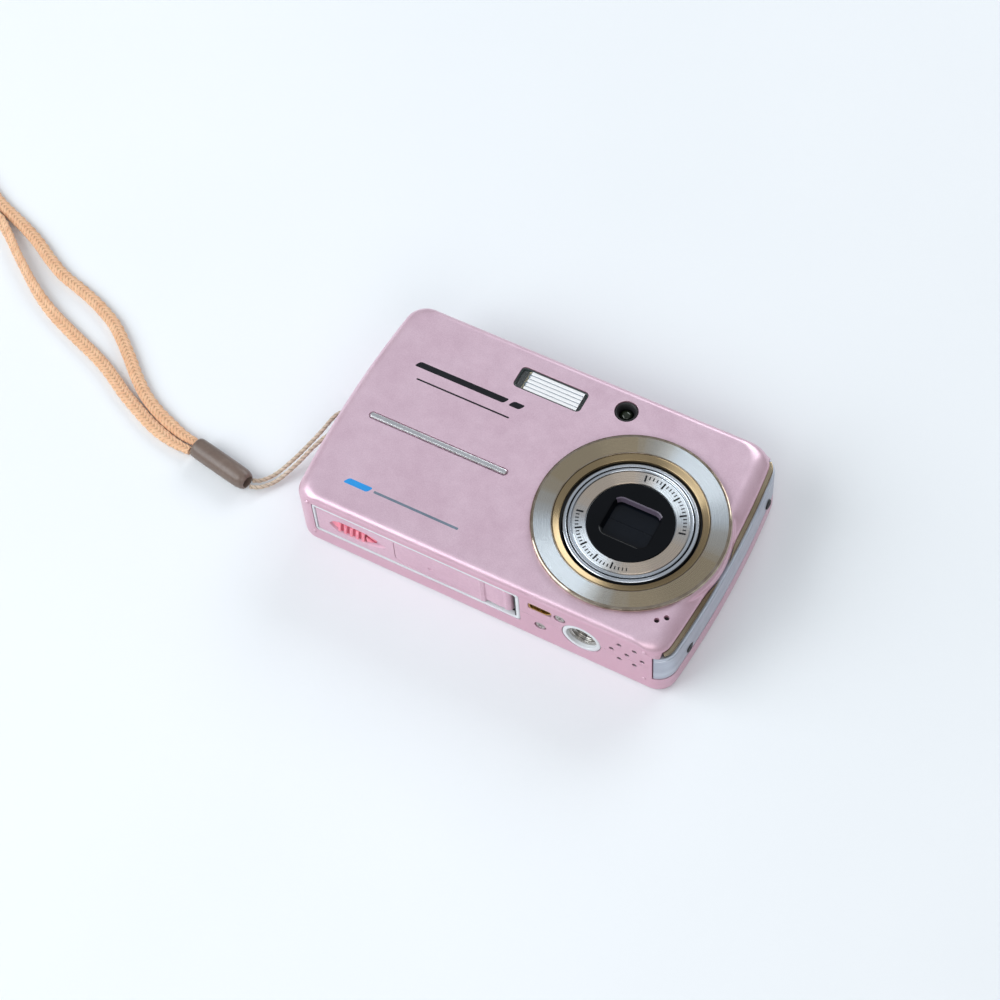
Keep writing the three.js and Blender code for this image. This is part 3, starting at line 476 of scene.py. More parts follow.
def loose(bm):
    bmesh.ops.recalc_face_normals(bm, faces=bm.faces)
    mesh = bpy.data.meshes.new("loose")
    bm.to_mesh(mesh)
    bm.free()
    made = bpy.data.objects.new("loose", mesh)
    scene.collection.objects.link(made)
    return made


def combined(base, tools, operation="DIFFERENCE"):
    """The base with each tool cut from it or joined to it."""
    target = loose(base)
    helpers = [loose(tool) for tool in tools]
    for helper in helpers:
        step = target.modifiers.new("step", "BOOLEAN")
        step.operation = operation
        step.solver = "EXACT"
        step.object = helper
    bpy.context.view_layer.update()
    mesh = bpy.data.meshes.new_from_object(target.evaluated_get(bpy.context.evaluated_depsgraph_get()))
    result = bmesh.new()
    result.from_mesh(mesh)
    for thing in (target, *helpers):
        data = thing.data
        bpy.data.objects.remove(thing)
        bpy.data.meshes.remove(data)
    bpy.data.meshes.remove(mesh)
    return result


def add_piece(name, bm, look, body="root", stands_for=None, angle=32, recalc=True):
    """Makes the named piece in metres, smooth-shaded below that angle, riding on its body."""
    if recalc:
        bmesh.ops.recalc_face_normals(bm, faces=bm.faces)
    mesh = bpy.data.meshes.new(name)
    bm.to_mesh(mesh)
    bm.free()
    mesh.transform(Matrix.Scale(MM, 4))
    for key in [look] if isinstance(look, str) else look:
        mesh.materials.append(looks[key])
    mesh.shade_smooth()
    mesh.set_sharp_from_angle(angle=math.radians(angle))
    made = bpy.data.objects.new(name, mesh)
    scene.collection.objects.link(made)
    weigh = made.modifiers.new("even_shading", "WEIGHTED_NORMAL")
    weigh.keep_sharp = True
    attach(made, body)
    for node in [stands_for] if isinstance(stands_for, str) else stands_for or []:
        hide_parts(node)
    return made


# ---------------------------------------------------------------- strap routes, in metres
THIN_ROUTE = [
    (-.0615, -.0241, .0023), (-.0598, -.023, .0016), (-.0573, -.0199, .0013), (-.0548, -.0144, .0025),
    (-.0526, -.0092, .0047), (-.0502, -.0055, .0066), (-.0482, -.0038, .0072), (-.0462, -.0037, .0073),
    (-.0446, -.0028, .0073), (-.0443, -.0012, .0073), (-.0453, .0002, .0073), (-.0472, .0006, .0073),
    (-.0493, .0006, .0074), (-.0509, -.0005, .0074), (-.0517, -.0026, .0072), (-.0524, -.0052, .0064),
    (-.0539, -.0089, .0047), (-.0561, -.0139, .0026), (-.0584, -.0186, .0014), (-.0604, -.0213, .0016),
    (-.0617, -.0224, .0023),
]
BRAID_ROUTE = [
    (-.0786, -.0192, .0015), (-.0827, -.0186, .0012), (-.0866, -.0175, .0011), (-.0913, -.0158, .0011),
    (-.0964, -.0132, .0011), (-.101, -.0098, .0011), (-.1054, -.006, .0011), (-.1099, -.0023, .0011),
    (-.1137, .0004, .0011), (-.118, .0025, .0011), (-.1227, .0043, .0011), (-.1275, .0057, .0011),
    (-.1325, .0071, .0011), (-.1379, .0096, .0011), (-.1432, .0125, .0011), (-.1482, .0147, .0011),
    (-.1534, .0166, .0011), (-.1582, .0184, .0011), (-.1633, .0211, .0011), (-.169, .0249, .0011),
    (-.175, .0272, .0011), (-.181, .026, .0011), (-.1841, .0209, .0011), (-.1824, .0154, .0011),
    (-.177, .0124, .0011), (-.171, .0123, .0011), (-.1655, .0137, .0011), (-.1604, .0149, .0011),
    (-.1557, .014, .0011), (-.151, .0111, .0011), (-.1464, .0076, .0011), (-.1422, .0046, .0011),
    (-.138, .0017, .0011), (-.1334, -.0011, .0011), (-.1285, -.0035, .0011), (-.123, -.0056, .0011),
    (-.1179, -.0074, .0011), (-.1133, -.009, .0011), (-.1088, -.0109, .0011), (-.1054, -.0127, .0011),
    (-.1014, -.0149, .0011), (-.0974, -.0168, .0011), (-.0925, -.0189, .0011), (-.0887, -.0202, .0011),
    (-.0837, -.0213, .0012), (-.079, -.0217, .0015),
]
FERRULE_REAR, FERRULE_FRONT = np.array((-77.9, -20.5, 2.55)), np.array((-62.4, -23.4, 2.55))


def smooth_route(points, pitch):
    """The centripetal Catmull-Rom curve through the points, at even steps of pitch, in millimetres."""
    p = np.array(points) / MM
    p = np.vstack((2 * p[0] - p[1], p, 2 * p[-1] - p[-2]))
    fine = []
    for a, b, c, d in zip(p, p[1:], p[2:], p[3:]):
        t = np.cumsum([0] + [np.linalg.norm(v - u) ** 0.5 for u, v in ((a, b), (b, c), (c, d))])
        for s in np.linspace(t[1], t[2], 24, endpoint=False):
            a1 = ((t[1] - s) * a + (s - t[0]) * b) / (t[1] - t[0])
            a2 = ((t[2] - s) * b + (s - t[1]) * c) / (t[2] - t[1])
            a3 = ((t[3] - s) * c + (s - t[2]) * d) / (t[3] - t[2])
            b1 = ((t[2] - s) * a1 + (s - t[0]) * a2) / (t[2] - t[0])
            b2 = ((t[3] - s) * a2 + (s - t[1]) * a3) / (t[3] - t[1])
            fine.append(((t[2] - s) * b1 + (s - t[1]) * b2) / (t[2] - t[1]))
    fine = np.array(fine + [p[-2]])
    run = np.concatenate(([0], np.cumsum(np.linalg.norm(np.diff(fine, axis=0), axis=1))))
    steps = np.linspace(0, run[-1], int(run[-1] / pitch) + 1)
    return np.stack([np.interp(steps, run, fine[:, k]) for k in range(3)], 1), steps


def tube(line, steps, section, sides):
    """A mesh tube; section(s, angles, side, rise) gives each ring about its point on the line."""
    ahead = np.gradient(line, axis=0)
    ahead /= np.linalg.norm(ahead, axis=1)[:, None]
    side = np.cross((0, 0, 1), ahead)
    side /= np.linalg.norm(side, axis=1)[:, None]
    rise = np.cross(ahead, side)
    angles = np.linspace(0, 2 * math.pi, sides, endpoint=False)
    bm = bmesh.new()
    rows = []
    crown = bm.verts.layers.float.new("crown")
    for k, here in enumerate(line):
        across, height, crests = section(steps[k], angles)
        ring = here + across[:, None] * side[k] + height[:, None] * rise[k]
        rows.append([bm.verts.new(v) for v in ring])
        for vertex, crest in zip(rows[-1], crests):
            vertex[crown] = crest
    skin(bm, rows)
    bm.faces.new(rows[0])
    bm.faces.new(rows[-1])
    return bm


def thin_cord():
    line, steps = smooth_route(THIN_ROUTE, 0.14)

    def section(s, angles):
        twist = 2 * math.pi * s / 2.6
        lobes = 0.40 + 0.10 * np.abs(np.cos(angles - twist)) + 0.02 * np.cos(9 * angles + 3 * twist)
        return lobes * np.cos(angles), lobes * np.sin(angles), np.clip((lobes - 0.40) / 0.1, 0, 1)

    return tube(line, steps, section, 20)


def braid():
    line, steps = smooth_route(BRAID_ROUTE, 0.13)
    total = steps[-1]

    def roll(s):
        tip = np.exp(-((s - 0.435 * total) / 10) ** 2)
        lower = np.exp(-((s - 0.70 * total) / 22) ** 2)
        return math.radians(62) * lower + math.radians(35) * tip

    def pinch(s):
        near = min(s, total - s)
        return 0.62 + 0.38 * min(1.0, near / 9) ** 0.8

    def section(s, angles):
        half_wide, half_tall = 1.5 * pinch(s), 0.82
        u, v = np.cos(angles), np.sin(angles)
        across = half_wide * np.sign(u) * np.abs(u) ** 0.8
        height = half_tall * np.sign(v) * np.abs(v) ** 0.9
        lean = np.abs(across) / half_wide
        phase = 2 * math.pi * (s / 2.1 + 0.62 * lean * np.sign(height))
        ribs = 0.15 * np.abs(np.sin(phase)) - 0.08
        plait = 0.03 * np.cos(2 * math.pi * across / 0.75)
        middle = -0.10 * np.exp(-(across / 0.2) ** 2)
        crests = np.clip((ribs + plait + middle + 0.11) / 0.18, 0, 1)
        grow = 1 + (ribs + plait + middle) / half_tall
        height = height * grow
        across = across * (1 + 0.06 * np.sin(phase))
        a = roll(s)
        x = across * math.cos(a) - height * math.sin(a)
        z = across * math.sin(a) + height * math.cos(a)
        lift = max(0.0, -z.min() - 1.0)
        return x, z + lift, crests

    return tube(line, steps, section, 40)


def ferrule():
    axis = FERRULE_FRONT - FERRULE_REAR
    length = float(np.linalg.norm(axis))
    profile = [(1.62, 2.2), (1.72, 0.35), (1.95, 0.05), (2.2, 0.12), (2.42, 0.5), (2.46, 1.2), (2.48, 4)]
    profile += [(2.48, length - 4), (2.4, length - 1.8), (2.2, length - 0.8), (1.9, length - 0.2),
                (1.6, length),
                (1.35, length - 0.1), (1.2, length - 0.6), (1.15, length - 2.5), (0, length - 2.6), (0, 2.2)]
    bm = lathe(profile, steps=64)
    heading = Vector(axis).normalized()
    bmesh.ops.transform(bm, matrix=Matrix.Translation(Vector(FERRULE_REAR)) @ heading.to_track_quat("Z", "Y")
                        .to_matrix().to_4x4(), verts=bm.verts)
    return bm


def woven(name, dark, light, pitch):
    """Spun yarn: fine fibres, a slow change of tone, and painted shade that darkens the hollows between the
    strands.
    """
    look = Look(name, 0.85, 0.0, Sheen_Weight=0.25, Sheen_Roughness=0.5, Subsurface_Weight=0.06)
    look.shader.inputs["Subsurface Scale"].default_value = 0.0006
    fibre = look.noise(5200, 4.0, 0.65)
    slow = look.noise(pitch, 2.0)
    tone = look.math("ADD", look.spread(fibre, -0.3, 0.3, 0.35, 0.65), look.spread(slow, 0.2, 0.8))
    crown = look.add("ShaderNodeAttribute", {"attribute_name": "crown"}).outputs["Fac"]
    strands = look.blend(tone, dark, light)
    # Painted shade: where the crown weight is low, between the strands, the yarn takes a darker copy of its
    # colour.
    hollow = look.blend(fibre, tuple(0.5 * c for c in dark), tuple(0.66 * c for c in dark))
    look.join(look.blend(look.spread(crown, 0.0, 1.0, 0.05, 0.55), hollow, strands), "Base Color")
    look.join(look.spread(fibre, 0.75, 0.95), "Roughness")
    look.relief(fibre, 0.6, 0.05)
    return look.material


looks["thin_yarn"] = woven("thin_yarn", srgb(184, 164, 142), srgb(224, 208, 188), 700)
looks["braid_yarn"] = woven("braid_yarn", srgb(218, 166, 126), srgb(238, 196, 158), 500)

tip = add_piece("strap_tip", ferrule(), "taupe", stands_for="strap_ferrule", angle=50)
cord = add_piece("thin_cord", thin_cord(), "thin_yarn", stands_for="strap_loop", angle=180)
band = add_piece("hand_braid", braid(), "braid_yarn", stands_for="wrist_strap", angle=180)
thin_line, thin_steps = smooth_route(THIN_ROUTE, 0.5)
braid_line, braid_steps = smooth_route(BRAID_ROUTE, 0.5)


# ---------------------------------------------------------------- covers
def curve_points(start, control, end, steps=16):
    return [((1 - t) ** 2 * start[0] + 2 * t * (1 - t) * control[0] + t * t * end[0],
             (1 - t) ** 2 * start[1] + 2 * t * (1 - t) * control[1] + t * t * end[1])
            for t in (i / steps for i in range(steps + 1))]


def boss_radius(z):
    return 22.3 if z < 18.5 else 22.3 - 0.75 * ((z - 18.5) / 0.8) ** 2


def front_skin():
    """The front cover's outside: rounded edges, a long slope at each end, and the lens boss on the right."""
    left_end = np.array([(0, PART_Z)] + curve_points((0, 15.5), (0.6, FACE_Z), (4.1, FACE_Z)))
    right_end = np.array([(0, PART_Z), (0, 15.3), (1.3, 16.2), (1.5, 16.8)]
                         + curve_points((1.55, 16.95), (3.7, 19.2), (5.4, FACE_Z)))
    levels = [PART_Z, 13, 15.3, 15.6, 15.9, 16.2, 16.5, 16.8, 17.1]
    levels += [FACE_Z - 1.9 + 1.9 * math.sin(math.pi / 40 * i) for i in range(21)]
    rows = []
    for z in levels:
        sink = max(0.0, (z - FACE_Z + 1.9) / 1.9)
        side = 1.9 * (1 - math.sqrt(max(0.0, 1 - sink * sink)))
        left, right = (float(np.interp(z, end[:, 1], end[:, 0])) for end in (left_end, right_end))
        reach = boss_radius(z)
        row = []
        for x, y in shell_outline(left, right, side):
            away = y - LENS_Y
            if x > 30 and abs(away) < reach and z > 15.6:
                edge = LENS_X + math.sqrt(reach * reach - away * away)
                x = min((x + edge + math.sqrt((x - edge) ** 2 + 0.2)) / 2, 47.3)
            row.append((x, y, z))
        rows.append(row)
    return closed_rows(rows)


def slab(outline_of, levels):
    """A solid from an outline function and its (inset, z) levels."""
    return closed_rows([[(p.x, p.y, z) for p in outline_of(inset)] for inset, z in levels])


def end_zone(depth, from_x, z0, z1):
    """The space that a strip takes round the lens-side end."""
    outer = slab(body_outline, [(-0.6, z0), (-0.6, z1)])
    inner = slab(body_outline, [(depth, z0 - 1), (depth, z1 + 1)])
    keep = block(-80, from_x, -60, 60, z0 - 2, z1 + 2, 0.0)
    return combined(outer, [inner, keep])


def hole(outline, low, high, plane="base"):
    return plate(outline, [(0, low), (0, high)], plane=plane)


SCREWS = ((15.4, 7.1, 0.5), (20.3, 14.4, 1.1))
USB = (12.75, 18.25, 13.5, 15.6)
PIPS = ((40.5, 16.6), (-42.1, 16.6), (40.5, 4.5), (-41.6, 4.2))
SPEAKER = [(36.4, 11.75)] + [(36.4 + 3.65 * math.cos(math.radians(60 * i)),
                              11.75 + 3.65 * math.sin(math.radians(60 * i))) for i in range(6)]
MIC_HOLES = ((40.1, -21.3), (41.7, -19.8))
DOOR_FRAME = (-41.1, 10.4, 5.65, 16.5)


def shared_holes():
    low, high = BASE_Y - 1, BASE_Y + 1.8
    spare = 0.12
    x0, x1, z0, z1 = DOOR_FRAME
    holes = [end_zone(1.55, 42.35, 5.68, 15.42), end_zone(2.6, 43.9, 15.36, 16.46)]
    holes += [hole(rect(x0 - spare, x1 + spare, z0 - spare, z1 + spare, 0.7), low, high)]
    u0, u1, w0, w1 = USB
    holes += [hole(rect(u0 - spare, u1 + spare, w0 - spare, w1 + spare, 0.6), low, high)]
    holes += [hole(disc(*TRIPOD, 4.72), low, high)]
    holes += [hole(disc(x, z, 1.42, 32), low, high) for x, z, _ in SCREWS]
    holes += [hole(disc(x, z, 0.6, 20), low, high) for x, z in SPEAKER]
    holes += [hole(disc(-33, TOP_KEY_Z, 4.38), TOP_Y - 1.8, TOP_Y + 1),
              hole(disc(-17, TOP_KEY_Z, 2.56), TOP_Y - 1.8, TOP_Y + 1)]
    return holes


def pip(x, z):
    bm = lathe([(0, -0.3), (0.28, -0.27), (0.48, -0.12), (0.55, 0.1), (0.55, 0.5), (0, 0.5)], (x, z), "Y", 20)
    bmesh.ops.translate(bm, vec=(0, BASE_Y, 0), verts=bm.verts)
    return bm


def front_cover():
    hollow = slab(lambda inset: body_outline(inset, 1.2), [(1.3, 9), (1.3, 16.8), (2.4, 17.9)])
    holes = shared_holes()
    holes += [hole(disc(LENS_X, LENS_Y, 17.5, 96), 15, 25, "front")]
    holes += [hole(rect(-15.1, 1.7, 17.3, 23, 1.1), 16, 22, "front")]
    holes += [hole(disc(*FOCUS_LAMP, 2.72, 48), 16, 22, "front")]
    holes += [hole(rect(-40, -5.1, -4.4, -2.5, 0.94), 18.75, 22, "front")]
    holes += [hole(disc(x, y, 0.6, 24), 16, 22, "front") for x, y in MIC_HOLES]
    shell = combined(front_skin(), [hollow, *holes])
    return merged(shell, *(pip(x, z) for x, z in PIPS[:2]))


def rear_cover():
    edge = [(1.6 * (1 - math.cos(a)), 1.6 * (1 - math.sin(a)))
            for a in (math.pi / 2 * i / 8 for i in range(9))]
    outer = slab(body_outline, edge[::-1] + [(0, PART_Z - 0.08)])
    hollow = slab(body_outline, [(2.3, 1.2), (1.3, 2.2), (1.3, 14)])
    holes = shared_holes()
    holes += [hole(rect(-22.15, 44.15, -25.15, 25.15, 1.1), -1, 2, "front")]
    holes += [hole(rect(KEYS_X - 6.2, KEYS_X + 6.2, 18.8, 24, 2.55), -1, 2, "front")]
    holes += [hole(disc(KEYS_X, y, 2.56), -1, 2, "front") for y in (9, 0)]
    holes += [block(-52, -42.4, -5.75, 2.55, 4.35, 11.8, 0.0)]
    shell = combined(outer, [hollow, *holes])
    return merged(shell, *(pip(x, z) for x, z in PIPS[2:]))


add_piece("front_shell", front_cover(), "pink", stands_for="front_cover", angle=40)
# Black discs set down inside the speaker and microphone holes: they stand for the dark parts behind and for
# painted shade in the holes.
hole_shade_discs = [plate(disc(x, z, 0.58, 20), [(0, BASE_Y + 0.28), (0, BASE_Y + 1.2)], plane="base") for x,
         z in SPEAKER]
hole_shade_discs += [plate(disc(x, y, 0.58, 20), [(0, 17.9), (0, 18.35)]) for x, y in MIC_HOLES]
add_piece("sound_holes", merged(*hole_shade_discs), "black")
add_piece("rear_shell", rear_cover(), "pink", stands_for="rear_cover", angle=40)


# ---------------------------------------------------------------- trim on the lens-side end
def end_strip(section, from_x):
    """Sweeps an (inset, z) section along the part of the outline beyond from_x, with closed ends."""
    base = body_outline(0, steps=40)
    rings = {}
    for inset, _ in section:
        rings[inset] = rings.get(inset) or body_outline(inset, steps=40)
    ends = [i for i, p in enumerate(base) if p.x > from_x]
    start = next(i for i in ends if (i - 1) % len(base) not in ends)
    order = [(start + k) % len(base) for k in range(len(ends))]
    rows = []
    for i in order:
        rows.append([(rings[inset][i].x, rings[inset][i].y, z) for inset, z in section])
    return closed_rows(rows)


def side_trim():
    section = [(1.4, 5.9), (0.5, 5.9), (0.15, 5.98), (0.0, 6.3), (0.0, 14.05), (0.16, 14.15), (0.16, 14.32),
               (0.0, 14.42), (0.0, 14.9), (0.14, 15.14), (0.45, 15.2), (1.4, 15.2)]
    seats = [plate(disc(y, SIDE_SCREW_Z, 1.34, 32), [(0, 46), (0, 50)], plane="side") for y in SIDE_SCREW_Y]
    return combined(end_strip(section, 42.6), seats)


def band_half(upper):
    section = [(2.3, 15.5), (0.75, 15.5), (0.5, 15.56), (0.4, 15.7), (0.4, 15.98), (0.55, 16.14),
               (0.8, 16.2), (2.3, 16.2)]
    keep = block(30, 60, LENS_Y, 60, 10, 20, 0.0) if upper else block(30, 60, -60, LENS_Y, 10, 20, 0.0)
    strip = combined(end_strip(section, 44.5), [plate(disc(LENS_X, LENS_Y, 22.55, 160), [(0, 10), (0, 20)])])
    return combined(strip, [keep], "INTERSECT")


add_piece("end_trim", side_trim(), "trim", stands_for="side_trim")
add_piece("edge_band_upper", band_half(True), "bronze", stands_for="trim_band_upper")
add_piece("edge_band_lower", band_half(False), "bronze", stands_for="trim_band_lower")


# ---------------------------------------------------------------- screws
def screw(plane, x, y, face, inward, turn_by, radius=1.2):
    """A cross-head screw; face is its outer level and inward the sign of the way in."""
    levels = [(0.28, face), (0.08, face + 0.07 * inward), (0, face + 0.25 * inward), (0, face + 0.9 * inward)]
    head = plate(disc(x, y, radius, 40), levels, plane=plane)
    arm, thick = radius * 0.6, 0.17
    cross = []
    for a in (turn_by, turn_by + math.pi / 2):
        ca, sa = math.cos(a), math.sin(a)
        corners = [(-arm, -thick), (arm, -thick), (arm, thick), (-arm, thick)]
        outline = [Vector((x + u * ca - v * sa, y + u * sa + v * ca)) for u, v in corners]
        cross.append(plate(outline, [(-0.02, face - 0.3 * inward), (0.1, face + 0.42 * inward)], plane=plane))
    return combined(head, cross)


for name, (x, z, angle) in zip(("bottom_screw_rear", "bottom_screw_front"), SCREWS):
    add_piece(name + "_head", screw("base", x, z, BASE_Y + 0.12, 1, angle), "steel", stands_for=name)
for name, y, angle in zip(("side_screw_lower", "side_screw_upper"), SIDE_SCREW_Y, (0.4, 1.0)):
    add_piece(name + "_head", screw("side", y, SIDE_SCREW_Z, 47.0, -1, angle), "black", stands_for=name)


# ---------------------------------------------------------------- flash, focus lamp and accent bar
def flash_trough():
    """The bright curved reflector under the ribbed part of the flash."""
    inside = [(y, 13.6 + 4.2 * ((y - 20.15) / 2.6) ** 2) for y in np.linspace(17.55, 22.75, 25)]
    outline = [Vector((17.4, 13.0)), Vector((22.9, 13.0)), Vector((22.9, 17.8))] + [Vector(p)
                                                                                    for p in inside[::-1]]
    outline.append(Vector((17.4, 17.8)))
    return plate(outline, [(0, -12.7), (0, 0.9)], plane="side")


def flash_well():
    wall = plate(rect(-15.3, 1.9, 16.8, 23.5, 0.6), [(0, 12.3), (0, 17.3)],
                 [rect(-14.75, 1.35, 17.35, 22.95, 0.5)])
    return merged(wall, block(-15.2, 1.8, 16.9, 23.4, 12.2, 12.6, 0.0))


def flash_ribs():
    parts = []
    for i in range(5):
        y = 18.1 + i * 1.02
        outline = [Vector((y - 0.5, 18.72))] + [Vector((y + 0.5 * math.sin(a), 18.8 + 0.32 * math.cos(a)))
                                               for a in np.linspace(-1.4, 1.4,
                                                                    9)] + [Vector((y + 0.5, 18.72))]
        parts.append(plate(outline[::-1], [(0.05, -12.5), (0, -12.4), (0, 0.6), (0.05, 0.7)], plane="side"))
    return merged(*parts)


# Painted shade: thin grey lines in the valleys between the flash ribs, and two short marks at the ribs' left
# ends.
def flash_rib_shade():
    fine = ((18.61, 0.025), (19.63, 0.05), (20.65, 0.03), (21.67, 0.08))
    return merged(*(block(-12.6, 0.7, y - half, y + half, 18.72, 18.98, 0.0) for y, half in fine),
                  *(block(-12.7, -12.2, y - 0.3, y + 0.3, 18.8, 19.1, 0.0) for y in (19.12, 21.16)))


def bevelled_bar():
    levels = [(0, 18.8), (0, 19.42), (0.2, 19.66), (0.5, 19.75)]
    return plate(rect(-39.75, -5.35, -4.15, -2.75, 0.68, 8), levels)


add_piece("flash_rim", plate(rect(-15.04, 1.64, 17.36, 22.94, 1.05),
                             [(0, 17.6), (0, 19.0), (0.08, 19.12), (0.18, 19.16)],
                             [rect(-14.7, 1.3, 17.7, 22.6, 0.8)]), "smoke", stands_for="flash_window")
add_piece("flash_pane", plate(rect(-14.66, 1.26, 17.74, 22.56, 0.78), [(0, 17.9), (0, 18.6), (0.15, 18.7)]),
          "clear")
add_piece("flash_ribs", flash_ribs(), "flash")
add_piece("flash_rib_shade", flash_rib_shade(), "grey_ink")
add_piece("flash_trough", flash_trough(), "mirror", stands_for="flash_reflector")
add_piece("flash_well", flash_well(), "smoke")
add_piece("flash_end", block(-13.3, -12.75, 17.5, 22.8, 13.0, 18.0, 0.05), "tan")
add_piece("bright_bar", bevelled_bar(), "chrome", stands_for="accent_bar")
add_piece("lamp_ring", lathe([(1.75, 16.2), (2.6, 16.2), (2.6, 18.95), (2.45, 19.14), (2.3, 19.16),
                              (2.12, 19.0), (1.98, 18.75),
                              (1.85, 18.5), (1.75, 18.1)], FOCUS_LAMP, steps=64), "black",
          stands_for="focus_lamp_bezel")
add_piece("lamp_lens", lathe([(0, 15.4), (1.6, 15.4), (1.6, 17.2), (1.35, 17.7), (0.9, 18.05), (0.4, 18.2),
                              (0, 18.22)],
                             FOCUS_LAMP, steps=48), "lamp_glass", stands_for="focus_lamp_lens")


# ---------------------------------------------------------------- battery door, its frame and latch
def door_frame():
    x0, x1, z0, z1 = DOOR_FRAME
    outer = rect(x0, x1, z0, z1, 0.8)
    inner = rect(x0 + 0.62, x1 - 0.92, z0 + 0.66, z1 - 0.66, 0.5)
    return plate(outer, [(0.22, BASE_Y - 0.02), (0.05, BASE_Y + 0.08), (0, BASE_Y + 0.25), (0, BASE_Y + 1.2)],
                 [inner], plane="base")


def arc(cx, cy, radius, start, stop, steps=10):
    return [Vector((cx + radius * math.cos(math.radians(start + (stop - start) * i / steps)),
                    cy + radius * math.sin(math.radians(start + (stop - start) * i / steps))))
            for i in range(steps + 1)]


def along_z(outline, low, high, edge=0.15):
    """A bar with its section drawn in (x, y), running along Z with eased ends."""
    return plate(outline, [(edge, low), (0, low + edge), (0, high - edge), (edge, high)])


def almond(left, right, z, half, steps=10):
    middle = (left + right) / 2
    lower = curve_points((left, z), (left + 1.2, z - half), (left + 3.6, z - half), steps)
    lower += curve_points((middle + 1, z - half), (right - 3, z - half), (right, z), steps)
    upper = [(x, 2 * z - y) for x, y in reversed(lower)]
    return [Vector(p) for p in lower + upper[1:-1]]


def seam_outlines(half):
    """The strips of the door's moulded line: down from its upper edge, round a bend and along."""
    seam = [(-20.55, 15.3), (-20.55, 9.4), (-20.4, 8.5), (-19.8, 7.95), (-18.9, 7.8), (-1.6, 7.8)]
    outlines = []
    for start, stop in zip(seam, seam[1:]):
        a, b = Vector(start), Vector(stop)
        d = (b - a).normalized() * half
        n = Vector((-d.y, d.x))
        outlines.append([a - d - n, b + d - n, b + d + n, a - d + n])
    return outlines


# Painted shade: darker strips set down in the door's moulded groove.
def seam_shade_strips():
    return [plate(outline, [(0, BASE_Y + 0.17), (0, BASE_Y + 0.3)], plane="base")
            for outline in seam_outlines(0.09)]


def battery_door():
    out = BASE_Y + 0.06
    panel = plate(rect(-40.25, 1.4, 6.55, 15.6, 0.45), [(0.2, out), (0.05, out + 0.07), (0, out + 0.2),
                                                        (0, BASE_Y + 1.4)],
                  plane="base")
    seat = plate(almond(-37.1, -22.6, 11.2, 2.5), [(-0.05, out - 0.5), (0, out), (0.25, out + 0.7)],
                 plane="base")
    slot = plate(rect(-34.3, -26.3, 10.3, 12.1, 0.3), [(0, out - 1), (0, out + 3)], plane="base")
    cut_grooves_and_shade_strips = [plate(outline, [(-0.03, out - 0.3), (0.03, out + 0.22)], plane="base")
               for outline in seam_outlines(0.1)]
    dimple = lathe([(0, -0.5), (0.62, -0.3), (0.6, 0.02), (0.42, 0.2), (0, 0.28)], (-11.7, 10.6), "Y", 32)
    bmesh.ops.translate(dimple, vec=(0, out, 0), verts=dimple.verts)
    body = combined(panel, [seat, slot, *cut_grooves_and_shade_strips, dimple])
    ridge = along_z([Vector(p) for p in ((0.3, -27.4), (0.3, -28.1))] + arc(0.95, -27.95, 0.32, 200, 300, 6)
                    + [Vector((1.75, -28.0)), Vector((2.1, -27.4))], 6.6, 15.55, 0.12)
    hinge = [Vector((1.0, -27.1)), Vector((1.0, -27.72)), Vector((5.4, -27.98))]
    hinge += arc(7.1, -26.75, 1.34, 236, 380, 18) + [Vector((8.0, -25.95)), Vector((6.2, -26.4))]
    barrel = along_z(hinge, 7.3, 15.2, 0.2)
    return merged(body, ridge, barrel)


LATCH_TOP = BASE_Y + 0.42
RIBS = [-35.1 + 1.5 * i for i in range(5)]
ARROW = [(-27.7, 10.1), (-25.9, 11.0), (-27.7, 12.1)]


def slanted(x, width, low=9.35, high=12.9):
    return [Vector((x, low)), Vector((x + width, low)), Vector((x + width + 0.45, high)),
            Vector((x + 0.45, high))]


def latch():
    """The pad, its ribs and its arrow, with the bolt's stem behind."""
    parts = [plate(almond(-36.7, -25.2, 11.2, 2.1), [(0.35, LATCH_TOP), (0.12, LATCH_TOP + 0.08),
                                                     (0, LATCH_TOP + 0.2),
                                                     (0, LATCH_TOP + 0.32)], plane="base")]
    raised = [(0.12, LATCH_TOP - 0.42), (0, LATCH_TOP - 0.28), (0, LATCH_TOP + 0.2)]
    parts += [plate(slanted(x, 0.72), raised, plane="base") for x in RIBS]
    parts.append(plate([Vector(p) for p in ARROW], raised, plane="base"))
    parts.append(plate(rect(-34, -28.6, 10.6, 11.8, 0.1), [(0, LATCH_TOP + 0.2), (0, BASE_Y + 2.2)],
                       plane="base"))
    return merged(*parts)


def latch_shade():
    """Painted shadow: dark strips beside the ribs and round the arrow."""
    low = [(0, LATCH_TOP - 0.08), (0, LATCH_TOP + 0.1)]
    cut_grooves_and_shade_strips = [plate(slanted(x + 0.74, 0.46, 9.5, 12.8), low, plane="base") for x in RIBS]
    return merged(*cut_grooves_and_shade_strips, plate(offset([Vector(p) for p in ARROW], -0.3), low, plane="base"))


add_piece("door_surround", door_frame(), "grey", stands_for="door_frame")
add_piece("battery_cover", battery_door(), "door", "battery_door", "battery_door")
add_piece("latch_key", latch(), "coral", "latch_slider", "latch_slider")
add_piece("latch_rib_shadows", latch_shade(), "deep_coral", "latch_slider")
add_piece("door_seam_shade", merged(*seam_shade_strips()), "seam", "battery_door")
# A black strip behind the gap beside the hinge barrel: it stands for the dark bay behind and for painted
# shade in the gap.
add_piece("hinge_gap_shade", block(9.04, 9.46, BASE_Y + 0.3, BASE_Y + 1.0, 6.4, 15.8, 0.0), "black")


